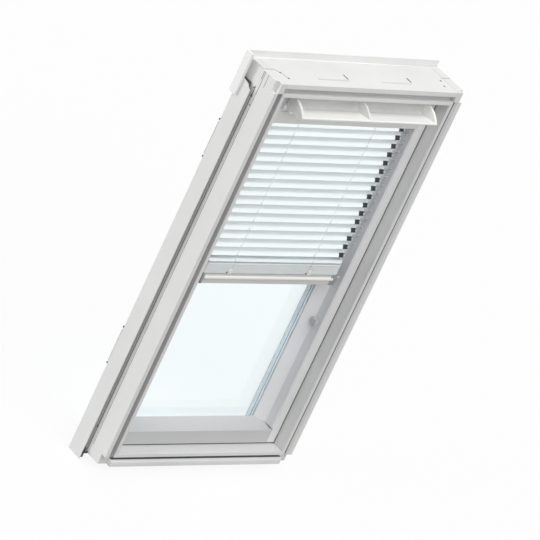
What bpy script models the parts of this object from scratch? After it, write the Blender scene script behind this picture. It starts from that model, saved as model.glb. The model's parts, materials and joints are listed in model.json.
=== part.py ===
"""A centre-pivot roof window, seen from the room, with a venetian blind in its sash.

X runs across the window, -Y points into the room and +Z up the slope. Sizes are in millimetres and become
metres where a mesh is made. A depth is measured from the frame's room-side face towards the outside, and a
height from the frame's lower edge.
"""

import math

import bmesh
import bpy
from mathutils import Matrix, Vector

MM = 0.001

# Clearances
FIT = 0.3
SASH_GAP = 3.0
RUNNING_GAP = 1.0

# How far a cutter runs past what it cuts, and how deep a joined piece sinks in
OVERCUT = 10.0
SINK = 5.0

# Frame, the same profile all round
FRAME_WIDTH = 550.0
FRAME_HEIGHT = 978.0
FRAME_DEPTH = 98.9
RIM_WIDTH = 8.4
GROOVE_WIDTH = 13.8
LIP_WIDTH = 10.5
GROOVE_DEPTH = 12.6
LIP_CHAMFER = 5.0
LIP_SETBACK = 25.0
CORNER_BLOCK_WIDTH = 15.0
SEAM_DEPTH = 47.5
SEAM_WIDTH = 1.2
SEAM_CUT = 1.0
FRAME_EDGE_RADIUS = 0.7

# Raised pads on the top face, and the brackets behind the side cladding
PAD_LENGTH = 88.0
PAD_WIDTH = 21.0
PAD_RISE = 1.6
PAD_SPACING = 186.5
PAD_OFFSET = -4.5
PAD_FRONT = 28.5
BRACKET_WIDTH = 24.0
BRACKET_THICKNESS = 2.4
BRACKET_BEVEL = 5.0
BRACKET_LENGTH = 88.0
BRACKET_UPPER_DROP = 244.0
BRACKET_LOWER_RISE = 205.0

# Outer covers
SHEET = 1.8
CLADDING_STANDOFF = 10.0
CLADDING_FRONT = 59.0
CLADDING_DROP = 19.5
CLADDING_SHOULDER_DROP = 53.0
CLADDING_SHOULDER_RISE = 12.0
CLADDING_FLANGE_LAP = 30.0
COVER_BACK_GAP = 9.1
COVER_UPSTAND = 15.5
COVER_LAP = 38.0
COVER_LEG_LENGTH = 98.5
COVER_LEG_DEPTH = 20.0
COVER_LEG_WIDTH = 6.7
COVER_RIGHT_SETBACK = 13.3
COVER_STEP_DROP = 20.0
BOTTOM_FLANGE_LAP = 28.0
BOTTOM_WEB_DROP = 9.0

# Sash
SASH_FRONT = 32.7
SASH_BACK_SETBACK = 0.9
STILE_FACE = 22.0
CHANNEL_SEAT_DEPTH = 57.4
BEAD_SLOPE_WIDTH = 25.0
BEAD_DEPTH = 75.2
BEAD_NOSE = 1.2
REBATE = 15.0
BOTTOM_RAIL_FACE = 33.2
BOTTOM_BEAD_RISE = 9.1
TOP_RAIL_FACE = 48.8
TOP_BEAD_DROP = 12.0
SASH_EDGE_RADIUS = 1.2
GLASS_THICKNESS = 20.0

# Pivot
PIVOT_DEPTH = 64.0
PIVOT_RADIUS = 7.0
PIVOT_REACH_IN = 11.3
PIVOT_REACH_OUT = 15.7

# Control bar with its ventilation flap
BAR_END_GAP = 50.6
END_RIB = 6.0
MIDDLE_RIB = 4.0
BAR_REACH = 30.0
BAR_FRONT_BELOW_TOP = 28.3
BAR_FRONT_RADIUS = 3.0
BAR_LIP_SETBACK = 13.5
BAR_LIP_DROP = 13.4
BAR_LIP_FLAT = 2.0
BAR_HOLLOW = 3.0
BAR_TRAY = 2.4
BAR_HEEL_DEPTH = 9.0
BAR_HEEL_DROP = 5.0
FLAP_DEPTH = 20.0
FLAP_TOP_GAP = 5.3
FLAP_FOOT_GAP = 3.7
FLAP_BOW = 3.5
FLAP_THICKNESS = 3.2
RIB_TOP_DEPTH = 5.5
RIB_BULGE = 5.5
RIB_CORNER = 2.0
HINGE_DEPTH = 28.0
HINGE_ABOVE_RAIL = 15.5
HINGE_PIN_RADIUS = 2.0
HINGE_HUB_RADIUS = 4.4
HINGE_LUG_WIDTH = 6.0

# Blind
CHANNEL_WIDTH = 5.0
CHANNEL_WALL = 1.2
HEADRAIL_HEIGHT = 29.0
HEADRAIL_FRONT = 31.0
HEADRAIL_BACK = 57.0
HEADRAIL_FASCIA = 1.0
HEADRAIL_UNDERSIDE = 17.0
HEADRAIL_LINE = 0.5
BLIND_DEPTH = 45.0
SLAT_COUNT = 16
SLAT_PITCH = 21.73
SLAT_WIDTH = 25.0
SLAT_GAP_LEFT = 8.0
SLAT_GAP_RIGHT = 24.0
SLAT_THICKNESS = 0.8
SLAT_CROWN_RADIUS = 35.0
SLAT_CORNER_RADIUS = 5.0
SLAT_FACETS = 3
SLAT_TILT = 48.0
FIRST_SLAT_BELOW_HEADRAIL = 1.8
CARRIER_RADIUS = 1.0
CARRIER_SHOE_RADIUS = 3.0
CARRIER_SHOE_LENGTH = 5.0
LADDER_INSET_LEFT = 77.0
LADDER_INSET_RIGHT = 89.0
LADDER_STRING = 0.8
LADDER_CLEARANCE = 0.8
STACK_SLATS = 20
STACK_PITCH = 1.28
STACK_NOTCH = 0.5
STACK_GAP = 27.2
STACK_GAP_RIGHT = 24.0
RAIL_HEIGHT = 26.5
RAIL_WIDTH = 24.0
RAIL_GAP_LEFT = 9.0
RAIL_GAP_RIGHT = 22.0
RAIL_EDGE_RADIUS = 1.2
RAIL_GUIDE_RADIUS = 2.5
ROLLER_RADIUS = 4.0
ROLLER_INSET_LEFT = 7.0
ROLLER_INSET_RIGHT = 10.0
ROLLER_JOURNAL_RADIUS = 1.5
ROLLER_JOURNAL_LENGTH = 4.0
ROLLER_PROUD = 3.2
ROLLER_DROP = 11.6
STOP_HEIGHT = 342.0
STOP_LENGTH = 16.0
STOP_WIDTH = 11.0
STOP_DEPTH = 16.0
STOP_CORNER = 3.5

# Places that follow from the sizes above
BORDER = RIM_WIDTH + GROOVE_WIDTH + LIP_WIDTH
SIDE = FRAME_WIDTH / 2
OPENING_X = SIDE - BORDER
OPENING_LOW = BORDER
OPENING_HIGH = FRAME_HEIGHT - BORDER
CROSS_HALF = OPENING_X + RIM_WIDTH
COVER_FRONT = FRAME_DEPTH + FIT
COVER_BACK = FRAME_DEPTH + COVER_BACK_GAP
CLADDING_BACK = COVER_FRONT + SHEET
CLADDING_SIDE = SIDE + CLADDING_STANDOFF
CLADDING_TOP = FRAME_HEIGHT - COVER_LAP - FIT
CLADDING_SHOULDER = FRAME_HEIGHT - CLADDING_SHOULDER_DROP
COVER_SIDE = CLADDING_SIDE + FIT + COVER_LEG_WIDTH
COVER_RIGHT_END = CLADDING_SIDE + FIT - COVER_RIGHT_SETBACK
BRACKET_HEIGHTS = {"upper": FRAME_HEIGHT - BRACKET_UPPER_DROP, "lower": BRACKET_LOWER_RISE}
SASH_SIDE = OPENING_X - SASH_GAP
SASH_BACK = FRAME_DEPTH - SASH_BACK_SETBACK
SASH_LOW = OPENING_LOW + SASH_GAP
SASH_HIGH = OPENING_HIGH - SASH_GAP
CHANNEL_BACK_X = SASH_SIDE - STILE_FACE - FIT
CHANNEL_FACE_X = CHANNEL_BACK_X - CHANNEL_WIDTH
BEAD_EDGE_X = SASH_SIDE - STILE_FACE - CHANNEL_WIDTH - FIT - BEAD_SLOPE_WIDTH
GLASS_SIDE = BEAD_EDGE_X + REBATE - FIT
GLASS_FRONT = BEAD_DEPTH + BEAD_NOSE + FIT
BOTTOM_FACE_HIGH = SASH_LOW + BOTTOM_RAIL_FACE
TOP_FACE_LOW = SASH_HIGH - TOP_RAIL_FACE
GLASS_LOW = BOTTOM_FACE_HIGH + BOTTOM_BEAD_RISE - REBATE + FIT
GLASS_HIGH = TOP_FACE_LOW - TOP_BEAD_DROP + REBATE - FIT
PIVOT_HEIGHT = FRAME_HEIGHT / 2
HINGE_HEIGHT = TOP_FACE_LOW + HINGE_ABOVE_RAIL
BAR_HALF = OPENING_X - BAR_END_GAP
FLAP_TOP = OPENING_HIGH - FLAP_TOP_GAP
BAR_FRONT = -BAR_REACH
BAR_FRONT_TOP = OPENING_HIGH - BAR_FRONT_BELOW_TOP
FLAP_FOOT = TOP_FACE_LOW + FLAP_FOOT_GAP
HEADRAIL_TOP = TOP_FACE_LOW - FIT
HEADRAIL_LOW = HEADRAIL_TOP - HEADRAIL_HEIGHT
FIRST_SLAT = HEADRAIL_LOW - FIRST_SLAT_BELOW_HEADRAIL
LAST_SLAT = FIRST_SLAT - (SLAT_COUNT - 1) * SLAT_PITCH
SLAT_ENDS = (SLAT_GAP_LEFT - CHANNEL_FACE_X, CHANNEL_FACE_X - SLAT_GAP_RIGHT)
STACK_ENDS = (SLAT_GAP_LEFT - CHANNEL_FACE_X, CHANNEL_FACE_X - STACK_GAP_RIGHT)
RAIL_ENDS = (RAIL_GAP_LEFT - CHANNEL_FACE_X, CHANNEL_FACE_X - RAIL_GAP_RIGHT)
ROLLER_ENDS = (RAIL_ENDS[0] + ROLLER_INSET_LEFT, RAIL_ENDS[1] - ROLLER_INSET_RIGHT)
LADDER_LEFT_X = SLAT_ENDS[0] + LADDER_INSET_LEFT
LADDER_RIGHT_X = SLAT_ENDS[1] - LADDER_INSET_RIGHT
STACK_TOP = LAST_SLAT - STACK_GAP
STACK_LOW = STACK_TOP - STACK_SLATS * STACK_PITCH
RAIL_TOP = STACK_LOW - FIT
RAIL_LOW = RAIL_TOP - RAIL_HEIGHT
RAIL_FRONT = BLIND_DEPTH - RAIL_WIDTH / 2
ROLLER_DEPTH = RAIL_FRONT - ROLLER_PROUD + ROLLER_RADIUS
ROLLER_HEIGHT = RAIL_TOP - ROLLER_DROP
GUIDE_END_X = CHANNEL_FACE_X - RUNNING_GAP
BOTTOM_BEAD_SLOPE = BOTTOM_BEAD_RISE / (BEAD_DEPTH - SASH_FRONT)
CHANNEL_LOW = BOTTOM_FACE_HIGH + BOTTOM_BEAD_SLOPE * (CHANNEL_SEAT_DEPTH - SASH_FRONT) + FIT

# The model's origin is at the middle of its lowest face
DEPTH_ORIGIN = (COVER_BACK - BAR_REACH) / 2
HEIGHT_ORIGIN = -CLADDING_DROP

WHITE_LACQUER = ("white_lacquer", (0.80, 0.80, 0.79), 0.42, 0.0)
SASH_WHITE = ("sash_white", (0.76, 0.76, 0.76), 0.40, 0.0)
PAINTED_SHEET = ("painted_sheet", (0.77, 0.77, 0.76), 0.45, 0.0)
PIVOT_STEEL = ("pivot_steel", (0.55, 0.56, 0.57), 0.30, 1.0)
PANE = ("pane", (0.90, 0.97, 1.00), 0.05, 0.0)
BAR_WHITE = ("bar_white", (0.88, 0.88, 0.86), 0.35, 0.0)
CHANNEL_GREY = ("channel_grey", (0.50, 0.51, 0.53), 0.38, 0.0)
SLAT_WHITE = ("slat_white", (0.86, 0.90, 0.90), 0.45, 0.0)
RAIL_ENAMEL = ("rail_enamel", (0.70, 0.69, 0.67), 0.40, 0.0)
ROLLER_CREAM = ("roller_cream", (0.90, 0.88, 0.83), 0.30, 0.0)
CORD_WHITE = ("cord_white", (0.82, 0.84, 0.84), 0.80, 0.0)
NYLON_GREY = ("nylon_grey", (0.55, 0.56, 0.57), 0.50, 0.0)


def clear_scene():
    for obj in list(bpy.data.objects):
        bpy.data.objects.remove(obj, do_unlink=True)


def principled(finish):
    name, colour, roughness, metallic = finish
    found = bpy.data.materials.get(name)
    if found:
        return found
    material = bpy.data.materials.new(name)
    material.use_nodes = True
    shader = material.node_tree.nodes["Principled BSDF"]
    shader.inputs["Base Color"].default_value = (*colour, 1.0)
    shader.inputs["Roughness"].default_value = roughness
    shader.inputs["Metallic"].default_value = metallic
    material.diffuse_color = (*colour, 1.0)
    return material


def place(x, depth, height):
    """A point of the window, in metres from the model's origin."""
    return Vector((x, depth - DEPTH_ORIGIN, height - HEIGHT_ORIGIN)) * MM


def across(along, depth, height):
    return place(along, depth, height)


def upward(along, x, depth):
    return place(x, depth, along)


def inward(along, x, height):
    return place(x, along, height)


def swept(outline, direction, start, end):
    """A closed mesh: the outline carried straight from start to end along one direction of the window."""
    bm = bmesh.new()
    add_sweep(bm, outline, direction, start, end)
    return bm


def add_sweep(bm, outline, direction, start, end):
    verts = [bm.verts.new(direction(start, *point)) for point in outline]
    face = bm.faces.new(verts)
    raised = bmesh.ops.extrude_face_region(bm, geom=[face])["geom"]
    shift = direction(end, *outline[0]) - direction(start, *outline[0])
    bmesh.ops.translate(bm, verts=[v for v in raised if isinstance(v, bmesh.types.BMVert)], vec=shift)
    bmesh.ops.recalc_face_normals(bm, faces=bm.faces)


def block(x_range, depth_range, height_range):
    """A closed box between the given pairs of places."""
    (x0, x1), (d0, d1) = x_range, depth_range
    return swept([(x0, d0), (x1, d0), (x1, d1), (x0, d1)], upward, *height_range)


def turned(profile, depth, height, steps):
    """A closed round piece about an axis across the window, from pairs of x and radius."""
    bm = bmesh.new()
    verts = [bm.verts.new(place(x, depth - radius, height)) for x, radius in profile]
    edges = [bm.edges.new(pair) for pair in zip(verts, verts[1:])]
    bmesh.ops.spin(
        bm,
        geom=verts + edges,
        cent=place(0, depth, height),
        axis=(1, 0, 0),
        angle=math.tau,
        steps=steps,
        use_merge=True,
    )
    bmesh.ops.remove_doubles(bm, verts=bm.verts, dist=1e-6)
    bmesh.ops.recalc_face_normals(bm, faces=bm.faces)
    return bm


def arc(centre, radius, start, end, steps):
    """Points along a circle, with its angles in degrees."""
    angles = [math.radians(start + (end - start) * i / steps) for i in range(steps + 1)]
    return [(centre[0] + radius * math.cos(a), centre[1] + radius * math.sin(a)) for a in angles]


def mirrored(x_range, side):
    return tuple(sorted(side * x for x in x_range))


def joint(name, point, parent=None):
    """An empty on a joint's axis, which the pieces of that body hang from."""
    empty = bpy.data.objects.new(name, None)
    empty.empty_display_size = 0.03
    bpy.context.scene.collection.objects.link(empty)
    hang(empty, point, parent)
    return empty


def hang(obj, point, parent):
    """Puts an object's origin at a point of the window, under its parent."""
    origin = place(*point)
    obj["origin"] = origin[:]
    obj.parent = parent
    obj.location = origin - Vector(parent["origin"]) if parent else origin


def piece(name, bm, finish, parent=None, point=None, smooth=False):
    """An object from a mesh in window coordinates, with its origin on its parent's joint or at the point."""
    mesh = bpy.data.meshes.new(name)
    bm.to_mesh(mesh)
    bm.free()
    mesh.materials.append(principled(finish))
    for polygon in mesh.polygons:
        polygon.use_smooth = smooth
    obj = bpy.data.objects.new(name, mesh)
    bpy.context.scene.collection.objects.link(obj)
    if point:
        mesh.transform(Matrix.Translation(-place(*point)))
        hang(obj, point, parent)
    elif parent:
        mesh.transform(Matrix.Translation(-Vector(parent["origin"])))
        obj.parent = parent
    return obj


def shaped(obj, bm, operation="DIFFERENCE"):
    """Cuts a mesh out of the object, or joins it to it, with a hidden helper."""
    mesh = bpy.data.meshes.new(obj.name + "_tool")
    bm.to_mesh(mesh)
    bm.free()
    tool = bpy.data.objects.new(obj.name + "_tool", mesh)
    tool.hide_render = True
    tool.display_type = "WIRE"
    tool.parent = obj.parent
    if obj.parent:
        mesh.transform(Matrix.Translation(-Vector(obj.parent["origin"])))
    bpy.context.scene.collection.objects.link(tool)
    modifier = obj.modifiers.new(operation.title(), "BOOLEAN")
    modifier.operation = operation
    modifier.solver = "EXACT"
    modifier.object = tool
    return obj


def softened(obj, radius, segments=2):
    """Rounds the sharp edges of an object."""
    bevel = obj.modifiers.new("Edge radius", "BEVEL")
    bevel.width = radius * MM
    bevel.segments = segments
    bevel.limit_method = "ANGLE"
    bevel.angle_limit = math.radians(40)
    return obj


def frame_side(name, side):
    """A full-height side member, coped at its ends for the top and bottom members."""
    outline = [
        (OPENING_X, FRAME_DEPTH),
        (OPENING_X, 0),
        (CROSS_HALF, 0),
        (CROSS_HALF, GROOVE_DEPTH),
        (SIDE - LIP_WIDTH - LIP_CHAMFER, GROOVE_DEPTH),
        (SIDE - LIP_WIDTH - LIP_CHAMFER, LIP_CHAMFER),
        (SIDE - LIP_WIDTH, 0),
        (SIDE, 0),
        (SIDE, SEAM_DEPTH),
        (SIDE - SEAM_CUT, SEAM_DEPTH + SEAM_WIDTH / 2),
        (SIDE, SEAM_DEPTH + SEAM_WIDTH),
        (SIDE, FRAME_DEPTH),
    ]
    outline = [(side * x, depth) for x, depth in outline]
    obj = piece(name, swept(outline, upward, 0, FRAME_HEIGHT), WHITE_LACQUER)
    seat = mirrored((OPENING_X - OVERCUT, CROSS_HALF + FIT), side)
    through = (-OVERCUT, FRAME_DEPTH + OVERCUT)
    shaped(obj, block(seat, through, (OPENING_HIGH - FIT, FRAME_HEIGHT + OVERCUT)))
    shaped(obj, block(seat, through, (-OVERCUT, OPENING_LOW + FIT)))
    lip = mirrored((CROSS_HALF - FIT, SIDE + OVERCUT), side)
    front = (-OVERCUT, GROOVE_DEPTH)
    shaped(obj, block(lip, front, (-OVERCUT, LIP_SETBACK)))
    shaped(obj, block(lip, front, (FRAME_HEIGHT - LIP_SETBACK, FRAME_HEIGHT + OVERCUT)))
    corner = mirrored((CROSS_HALF + FIT, CROSS_HALF + FIT + CORNER_BLOCK_WIDTH), side)
    corner_low = FRAME_HEIGHT - LIP_WIDTH - GROOVE_WIDTH
    shaped(obj, block(corner, (0, GROOVE_DEPTH + SINK), (corner_low, FRAME_HEIGHT)), "UNION")
    shaped(obj, pivot_hole())
    return softened(obj, FRAME_EDGE_RADIUS)


def frame_cross_outline():
    """The frame's profile at its lower member, as depth and height."""
    return [
        (FRAME_DEPTH, OPENING_LOW),
        (0, OPENING_LOW),
        (0, OPENING_LOW - RIM_WIDTH),
        (GROOVE_DEPTH, OPENING_LOW - RIM_WIDTH),
        (GROOVE_DEPTH, LIP_WIDTH + LIP_CHAMFER),
        (LIP_CHAMFER, LIP_WIDTH + LIP_CHAMFER),
        (0, LIP_WIDTH),
        (0, 0),
        (FRAME_DEPTH, 0),
    ]


def frame_bottom():
    bm = swept(frame_cross_outline(), across, -CROSS_HALF, CROSS_HALF)
    return softened(piece("frame_bottom", bm, WHITE_LACQUER), FRAME_EDGE_RADIUS)


def frame_top():
    """The top member, with the two raised pads on its upper face."""
    outline = [(depth, FRAME_HEIGHT - height) for depth, height in frame_cross_outline()]
    obj = piece("frame_top", swept(outline, across, -CROSS_HALF, CROSS_HALF), WHITE_LACQUER)
    for side in (-1, 1):
        middle = PAD_OFFSET + side * PAD_SPACING / 2
        pad = block(
            (middle - PAD_LENGTH / 2, middle + PAD_LENGTH / 2),
            (PAD_FRONT, PAD_FRONT + PAD_WIDTH),
            (FRAME_HEIGHT - SINK, FRAME_HEIGHT + PAD_RISE),
        )
        shaped(obj, pad, "UNION")
    return softened(obj, FRAME_EDGE_RADIUS)


def side_cladding(name, side):
    """An angle of sheet beside the frame, its front edge swept back below the top cover."""
    flange_x = SIDE - CLADDING_FLANGE_LAP
    outline = [
        (CLADDING_SIDE, CLADDING_FRONT),
        (CLADDING_SIDE, CLADDING_BACK),
        (flange_x, CLADDING_BACK),
        (flange_x, COVER_FRONT),
        (CLADDING_SIDE - SHEET, COVER_FRONT),
        (CLADDING_SIDE - SHEET, CLADDING_FRONT),
    ]
    outline = [(side * x, depth) for x, depth in outline]
    obj = piece(name, swept(outline, upward, -CLADDING_DROP, CLADDING_TOP), PAINTED_SHEET)
    rise = CLADDING_SHOULDER_RISE
    front = CLADDING_FRONT
    back = COVER_FRONT - SHEET
    shoulder = [(front - OVERCUT, CLADDING_SHOULDER)]
    shoulder += arc((front, CLADDING_SHOULDER + rise), rise, -90, -20, 5)
    shoulder += [(back, CLADDING_TOP - SHEET), (back, CLADDING_TOP + OVERCUT)]
    shoulder += [(front - OVERCUT, CLADDING_TOP + OVERCUT)]
    ends = mirrored((CLADDING_SIDE - 2 * SHEET, CLADDING_SIDE + SHEET), side)
    return shaped(obj, swept(shoulder, across, *ends))


def bottom_cladding():
    """An angle of sheet under the frame's lower member."""
    low = -BOTTOM_WEB_DROP
    half = SIDE - CLADDING_FLANGE_LAP - FIT
    outline = [
        (CLADDING_FRONT, low),
        (CLADDING_BACK, low),
        (CLADDING_BACK, BOTTOM_FLANGE_LAP),
        (COVER_FRONT, BOTTOM_FLANGE_LAP),
        (COVER_FRONT, low + SHEET),
        (CLADDING_FRONT, low + SHEET),
    ]
    return piece("bottom_cladding", swept(outline, across, -half, half), PAINTED_SHEET)


def top_cover():
    """The hood behind the top member, its upstand shorter at the right, with a leg at each side."""
    outline = [
        (COVER_FRONT, FRAME_HEIGHT - COVER_LAP),
        (COVER_BACK, FRAME_HEIGHT - COVER_LAP),
        (COVER_BACK, FRAME_HEIGHT + COVER_UPSTAND),
        (COVER_BACK - SHEET, FRAME_HEIGHT + COVER_UPSTAND),
        (COVER_BACK - SHEET, FRAME_HEIGHT + FIT),
        (COVER_FRONT, FRAME_HEIGHT + FIT),
    ]
    inner = CLADDING_SIDE + FIT
    half = inner + COVER_LEG_WIDTH / 2
    obj = piece("top_cover", swept(outline, across, -half, half), PAINTED_SHEET)
    leg_top = FRAME_HEIGHT + COVER_UPSTAND
    for side in (-1, 1):
        leg = block(
            mirrored((inner, COVER_SIDE), side),
            (COVER_BACK - COVER_LEG_DEPTH, COVER_BACK),
            (leg_top - COVER_LEG_LENGTH, leg_top),
        )
        shaped(obj, leg, "UNION")
    step = (FRAME_HEIGHT - COVER_STEP_DROP, leg_top + OVERCUT)
    depths = (COVER_FRONT - COVER_LEG_DEPTH - OVERCUT, COVER_BACK + OVERCUT)
    shaped(obj, block((COVER_RIGHT_END, COVER_SIDE + OVERCUT), depths, step))
    return softened(obj, FRAME_EDGE_RADIUS)


def side_bracket(place_name, low):
    """A fixing plate behind the left cladding, with bevelled outer ends."""
    outer = -CLADDING_SIDE
    inner = outer + BRACKET_WIDTH
    outline = [
        (inner, low),
        (outer + BRACKET_BEVEL, low),
        (outer, low + BRACKET_BEVEL),
        (outer, low + BRACKET_LENGTH - BRACKET_BEVEL),
        (outer + BRACKET_BEVEL, low + BRACKET_LENGTH),
        (inner, low + BRACKET_LENGTH),
    ]
    front = CLADDING_BACK + FIT
    bm = swept(outline, inward, front, front + BRACKET_THICKNESS)
    return piece("side_bracket_" + place_name, bm, PAINTED_SHEET)


def pivot_hole():
    reach = SASH_SIDE - PIVOT_REACH_IN - FIT, OPENING_X + PIVOT_REACH_OUT + FIT
    radius = PIVOT_RADIUS + FIT
    profile = [(-reach[1], 0), (-reach[1], radius), (-reach[0], radius), (-reach[0], 0)]
    bm = turned(profile, PIVOT_DEPTH, PIVOT_HEIGHT, 32)
    other = turned([(-x, radius) for x, radius in profile], PIVOT_DEPTH, PIVOT_HEIGHT, 32)
    mesh = bpy.data.meshes.new("pivot_hole")
    other.to_mesh(mesh)
    other.free()
    bm.from_mesh(mesh)
    bpy.data.meshes.remove(mesh)
    return bm


def pivot_pin(name, side):
    inner, outer = side * (SASH_SIDE - PIVOT_REACH_IN), side * (OPENING_X + PIVOT_REACH_OUT)
    tip = side * 1.0
    profile = [
        (inner, 0),
        (inner, PIVOT_RADIUS - 1),
        (inner + tip, PIVOT_RADIUS),
        (outer, PIVOT_RADIUS),
        (outer, 0),
    ]
    bm = turned(profile, PIVOT_DEPTH, PIVOT_HEIGHT, 32)
    return piece(name, bm, PIVOT_STEEL, smooth=True)


def stile_outline(grown=0.0):
    """A sash side member's section, as x and depth, with its inner faces moved inward by grown."""
    channel_x = SASH_SIDE - STILE_FACE - grown
    bead_x = channel_x - CHANNEL_WIDTH - FIT
    return [
        (SASH_SIDE + grown, SASH_FRONT - grown),
        (channel_x, SASH_FRONT - grown),
        (channel_x, CHANNEL_SEAT_DEPTH - grown),
        (bead_x, CHANNEL_SEAT_DEPTH - grown),
        (BEAD_EDGE_X - grown, BEAD_DEPTH - grown),
        (BEAD_EDGE_X - grown, BEAD_DEPTH + BEAD_NOSE + grown),
        (BEAD_EDGE_X + REBATE - grown, BEAD_DEPTH + BEAD_NOSE + grown),
        (BEAD_EDGE_X + REBATE - grown, SASH_BACK + grown),
        (SASH_SIDE + grown, SASH_BACK + grown),
    ]


def sash_side(name, side, sash):
    outline = [(side * x, depth) for x, depth in stile_outline()]
    obj = piece(name, swept(outline, upward, SASH_LOW, SASH_HIGH), SASH_WHITE, sash)
    shaped(obj, pivot_hole())
    return softened(obj, SASH_EDGE_RADIUS)


def coped(obj):
    """Cuts both ends of a sash cross member to the section of the side members."""
    for side in (-1, 1):
        outline = [(side * x, depth) for x, depth in stile_outline(FIT)]
        shaped(obj, swept(outline, upward, SASH_LOW - OVERCUT, SASH_HIGH + OVERCUT))
    return obj


def sash_bottom(sash):
    bead = BOTTOM_FACE_HIGH + BOTTOM_BEAD_RISE
    outline = [
        (SASH_FRONT, SASH_LOW),
        (SASH_FRONT, BOTTOM_FACE_HIGH),
        (BEAD_DEPTH, bead),
        (BEAD_DEPTH + BEAD_NOSE, bead),
        (BEAD_DEPTH + BEAD_NOSE, bead - REBATE),
        (SASH_BACK, bead - REBATE),
        (SASH_BACK, SASH_LOW),
    ]
    half = SASH_SIDE - STILE_FACE / 2
    return coped(piece("sash_bottom", swept(outline, across, -half, half), SASH_WHITE, sash))


def sash_top(sash):
    """The top member, with a lug and a stub pin at each end for the control bar."""
    bead = TOP_FACE_LOW - TOP_BEAD_DROP
    outline = [
        (SASH_FRONT, SASH_HIGH),
        (SASH_FRONT, TOP_FACE_LOW),
        (CHANNEL_SEAT_DEPTH, TOP_FACE_LOW),
        (BEAD_DEPTH, bead),
        (BEAD_DEPTH + BEAD_NOSE, bead),
        (BEAD_DEPTH + BEAD_NOSE, bead + REBATE),
        (SASH_BACK, bead + REBATE),
        (SASH_BACK, SASH_HIGH),
    ]
    half = SASH_SIDE - STILE_FACE / 2
    obj = coped(piece("sash_top", swept(outline, across, -half, half), SASH_WHITE, sash))
    lug_inner = BAR_HALF + FIT + END_RIB + FIT
    hub, root_depth = HINGE_HUB_RADIUS, SASH_FRONT + SINK
    lug_outline = [
        (HINGE_DEPTH - hub, HINGE_HEIGHT - hub),
        (root_depth, HINGE_HEIGHT - 2 * hub),
        (root_depth, HINGE_HEIGHT + 2 * hub),
        (HINGE_DEPTH - hub, HINGE_HEIGHT + hub),
    ]
    for side in (-1, 1):
        ends = mirrored((lug_inner, lug_inner + HINGE_LUG_WIDTH), side)
        shaped(obj, swept(lug_outline, across, *ends), "UNION")
        tip, root = side * (BAR_HALF + FIT), side * (lug_inner + HINGE_LUG_WIDTH / 2)
        radius = HINGE_PIN_RADIUS
        pin = turned([(tip, 0), (tip, radius), (root, radius), (root, 0)], HINGE_DEPTH, HINGE_HEIGHT, 16)
        shaped(obj, pin, "UNION")
    return obj


def glass_unit(sash):
    depth = (GLASS_FRONT, GLASS_FRONT + GLASS_THICKNESS)
    bm = block((-GLASS_SIDE, GLASS_SIDE), depth, (GLASS_LOW, GLASS_HIGH))
    return piece("glass_unit", bm, PANE, sash)


def side_channel(name, side, sash):
    """A guide channel, its flat back towards the blind and its hollow towards the sash."""
    front = SASH_FRONT + FIT
    back = CHANNEL_SEAT_DEPTH - FIT
    web = CHANNEL_FACE_X + CHANNEL_WALL
    outline = [
        (CHANNEL_BACK_X, front),
        (CHANNEL_FACE_X, front),
        (CHANNEL_FACE_X, back),
        (CHANNEL_BACK_X, back),
        (CHANNEL_BACK_X, back - CHANNEL_WALL),
        (web, back - CHANNEL_WALL),
        (web, front + CHANNEL_WALL),
        (CHANNEL_BACK_X, front + CHANNEL_WALL),
    ]
    outline = [(side * x, depth) for x, depth in outline]
    bm = swept(outline, upward, CHANNEL_LOW, HEADRAIL_LOW - FIT)
    return piece(name, bm, CHANNEL_GREY, sash)


def channel_stop(sash):
    """A small rounded block clipped to the right channel, which ends the blind's travel."""
    inner = CHANNEL_FACE_X - FIT - STOP_WIDTH
    back = CHANNEL_SEAT_DEPTH - FIT
    low, high = STOP_HEIGHT, STOP_HEIGHT + STOP_LENGTH
    radius = STOP_CORNER
    outline = arc((inner + radius, low + radius), radius, 180, 270, 4)
    outline += [(CHANNEL_FACE_X - FIT, low), (CHANNEL_FACE_X - FIT, high)]
    outline += arc((inner + radius, high - radius), radius, 90, 180, 4)
    bm = swept(outline, inward, back - STOP_DEPTH, back)
    return piece("channel_stop", bm, NYLON_GREY, sash)


def headrail(sash):
    """The blind's top rail, with a low fascia that hides the first slat's far edge."""
    front, back = HEADRAIL_FRONT, HEADRAIL_BACK
    middle = HEADRAIL_LOW + HEADRAIL_HEIGHT / 2
    under = HEADRAIL_TOP - HEADRAIL_UNDERSIDE
    outline = [
        (front, HEADRAIL_LOW),
        (front + HEADRAIL_FASCIA, HEADRAIL_LOW),
        (front + HEADRAIL_FASCIA, under),
        (back, under),
        (back, HEADRAIL_TOP),
        (front, HEADRAIL_TOP),
        (front, middle + HEADRAIL_LINE),
        (front + HEADRAIL_LINE, middle),
        (front, middle - HEADRAIL_LINE),
    ]
    half = CHANNEL_BACK_X - FIT
    return piece("blind_headrail", swept(outline, across, -half, half), RAIL_ENAMEL, sash)


def curve(start, control, end, steps):
    """Points of a curve bent towards its control point, without its first point."""
    found = []
    for i in range(1, steps + 1):
        t = i / steps
        weights = ((1 - t) ** 2, 2 * t * (1 - t), t * t)
        found.append(tuple(sum(w * p[k] for w, p in zip(weights, (start, control, end))) for k in (0, 1)))
    return found


def scoop_outline(lift=0.0):
    """The room side of the scoop, from the flap's top down its hollow and out to the front, lifted off it."""
    top = (FLAP_DEPTH - lift, FLAP_TOP)
    heel = (BAR_HEEL_DEPTH - lift, BAR_FRONT_TOP - BAR_HEEL_DROP + lift)
    bend = (FLAP_DEPTH + FLAP_BOW - lift, heel[1])
    front = (BAR_FRONT + BAR_FRONT_RADIUS, BAR_FRONT_TOP + lift)
    return [top] + curve(top, bend, heel, 8) + [front]


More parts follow.
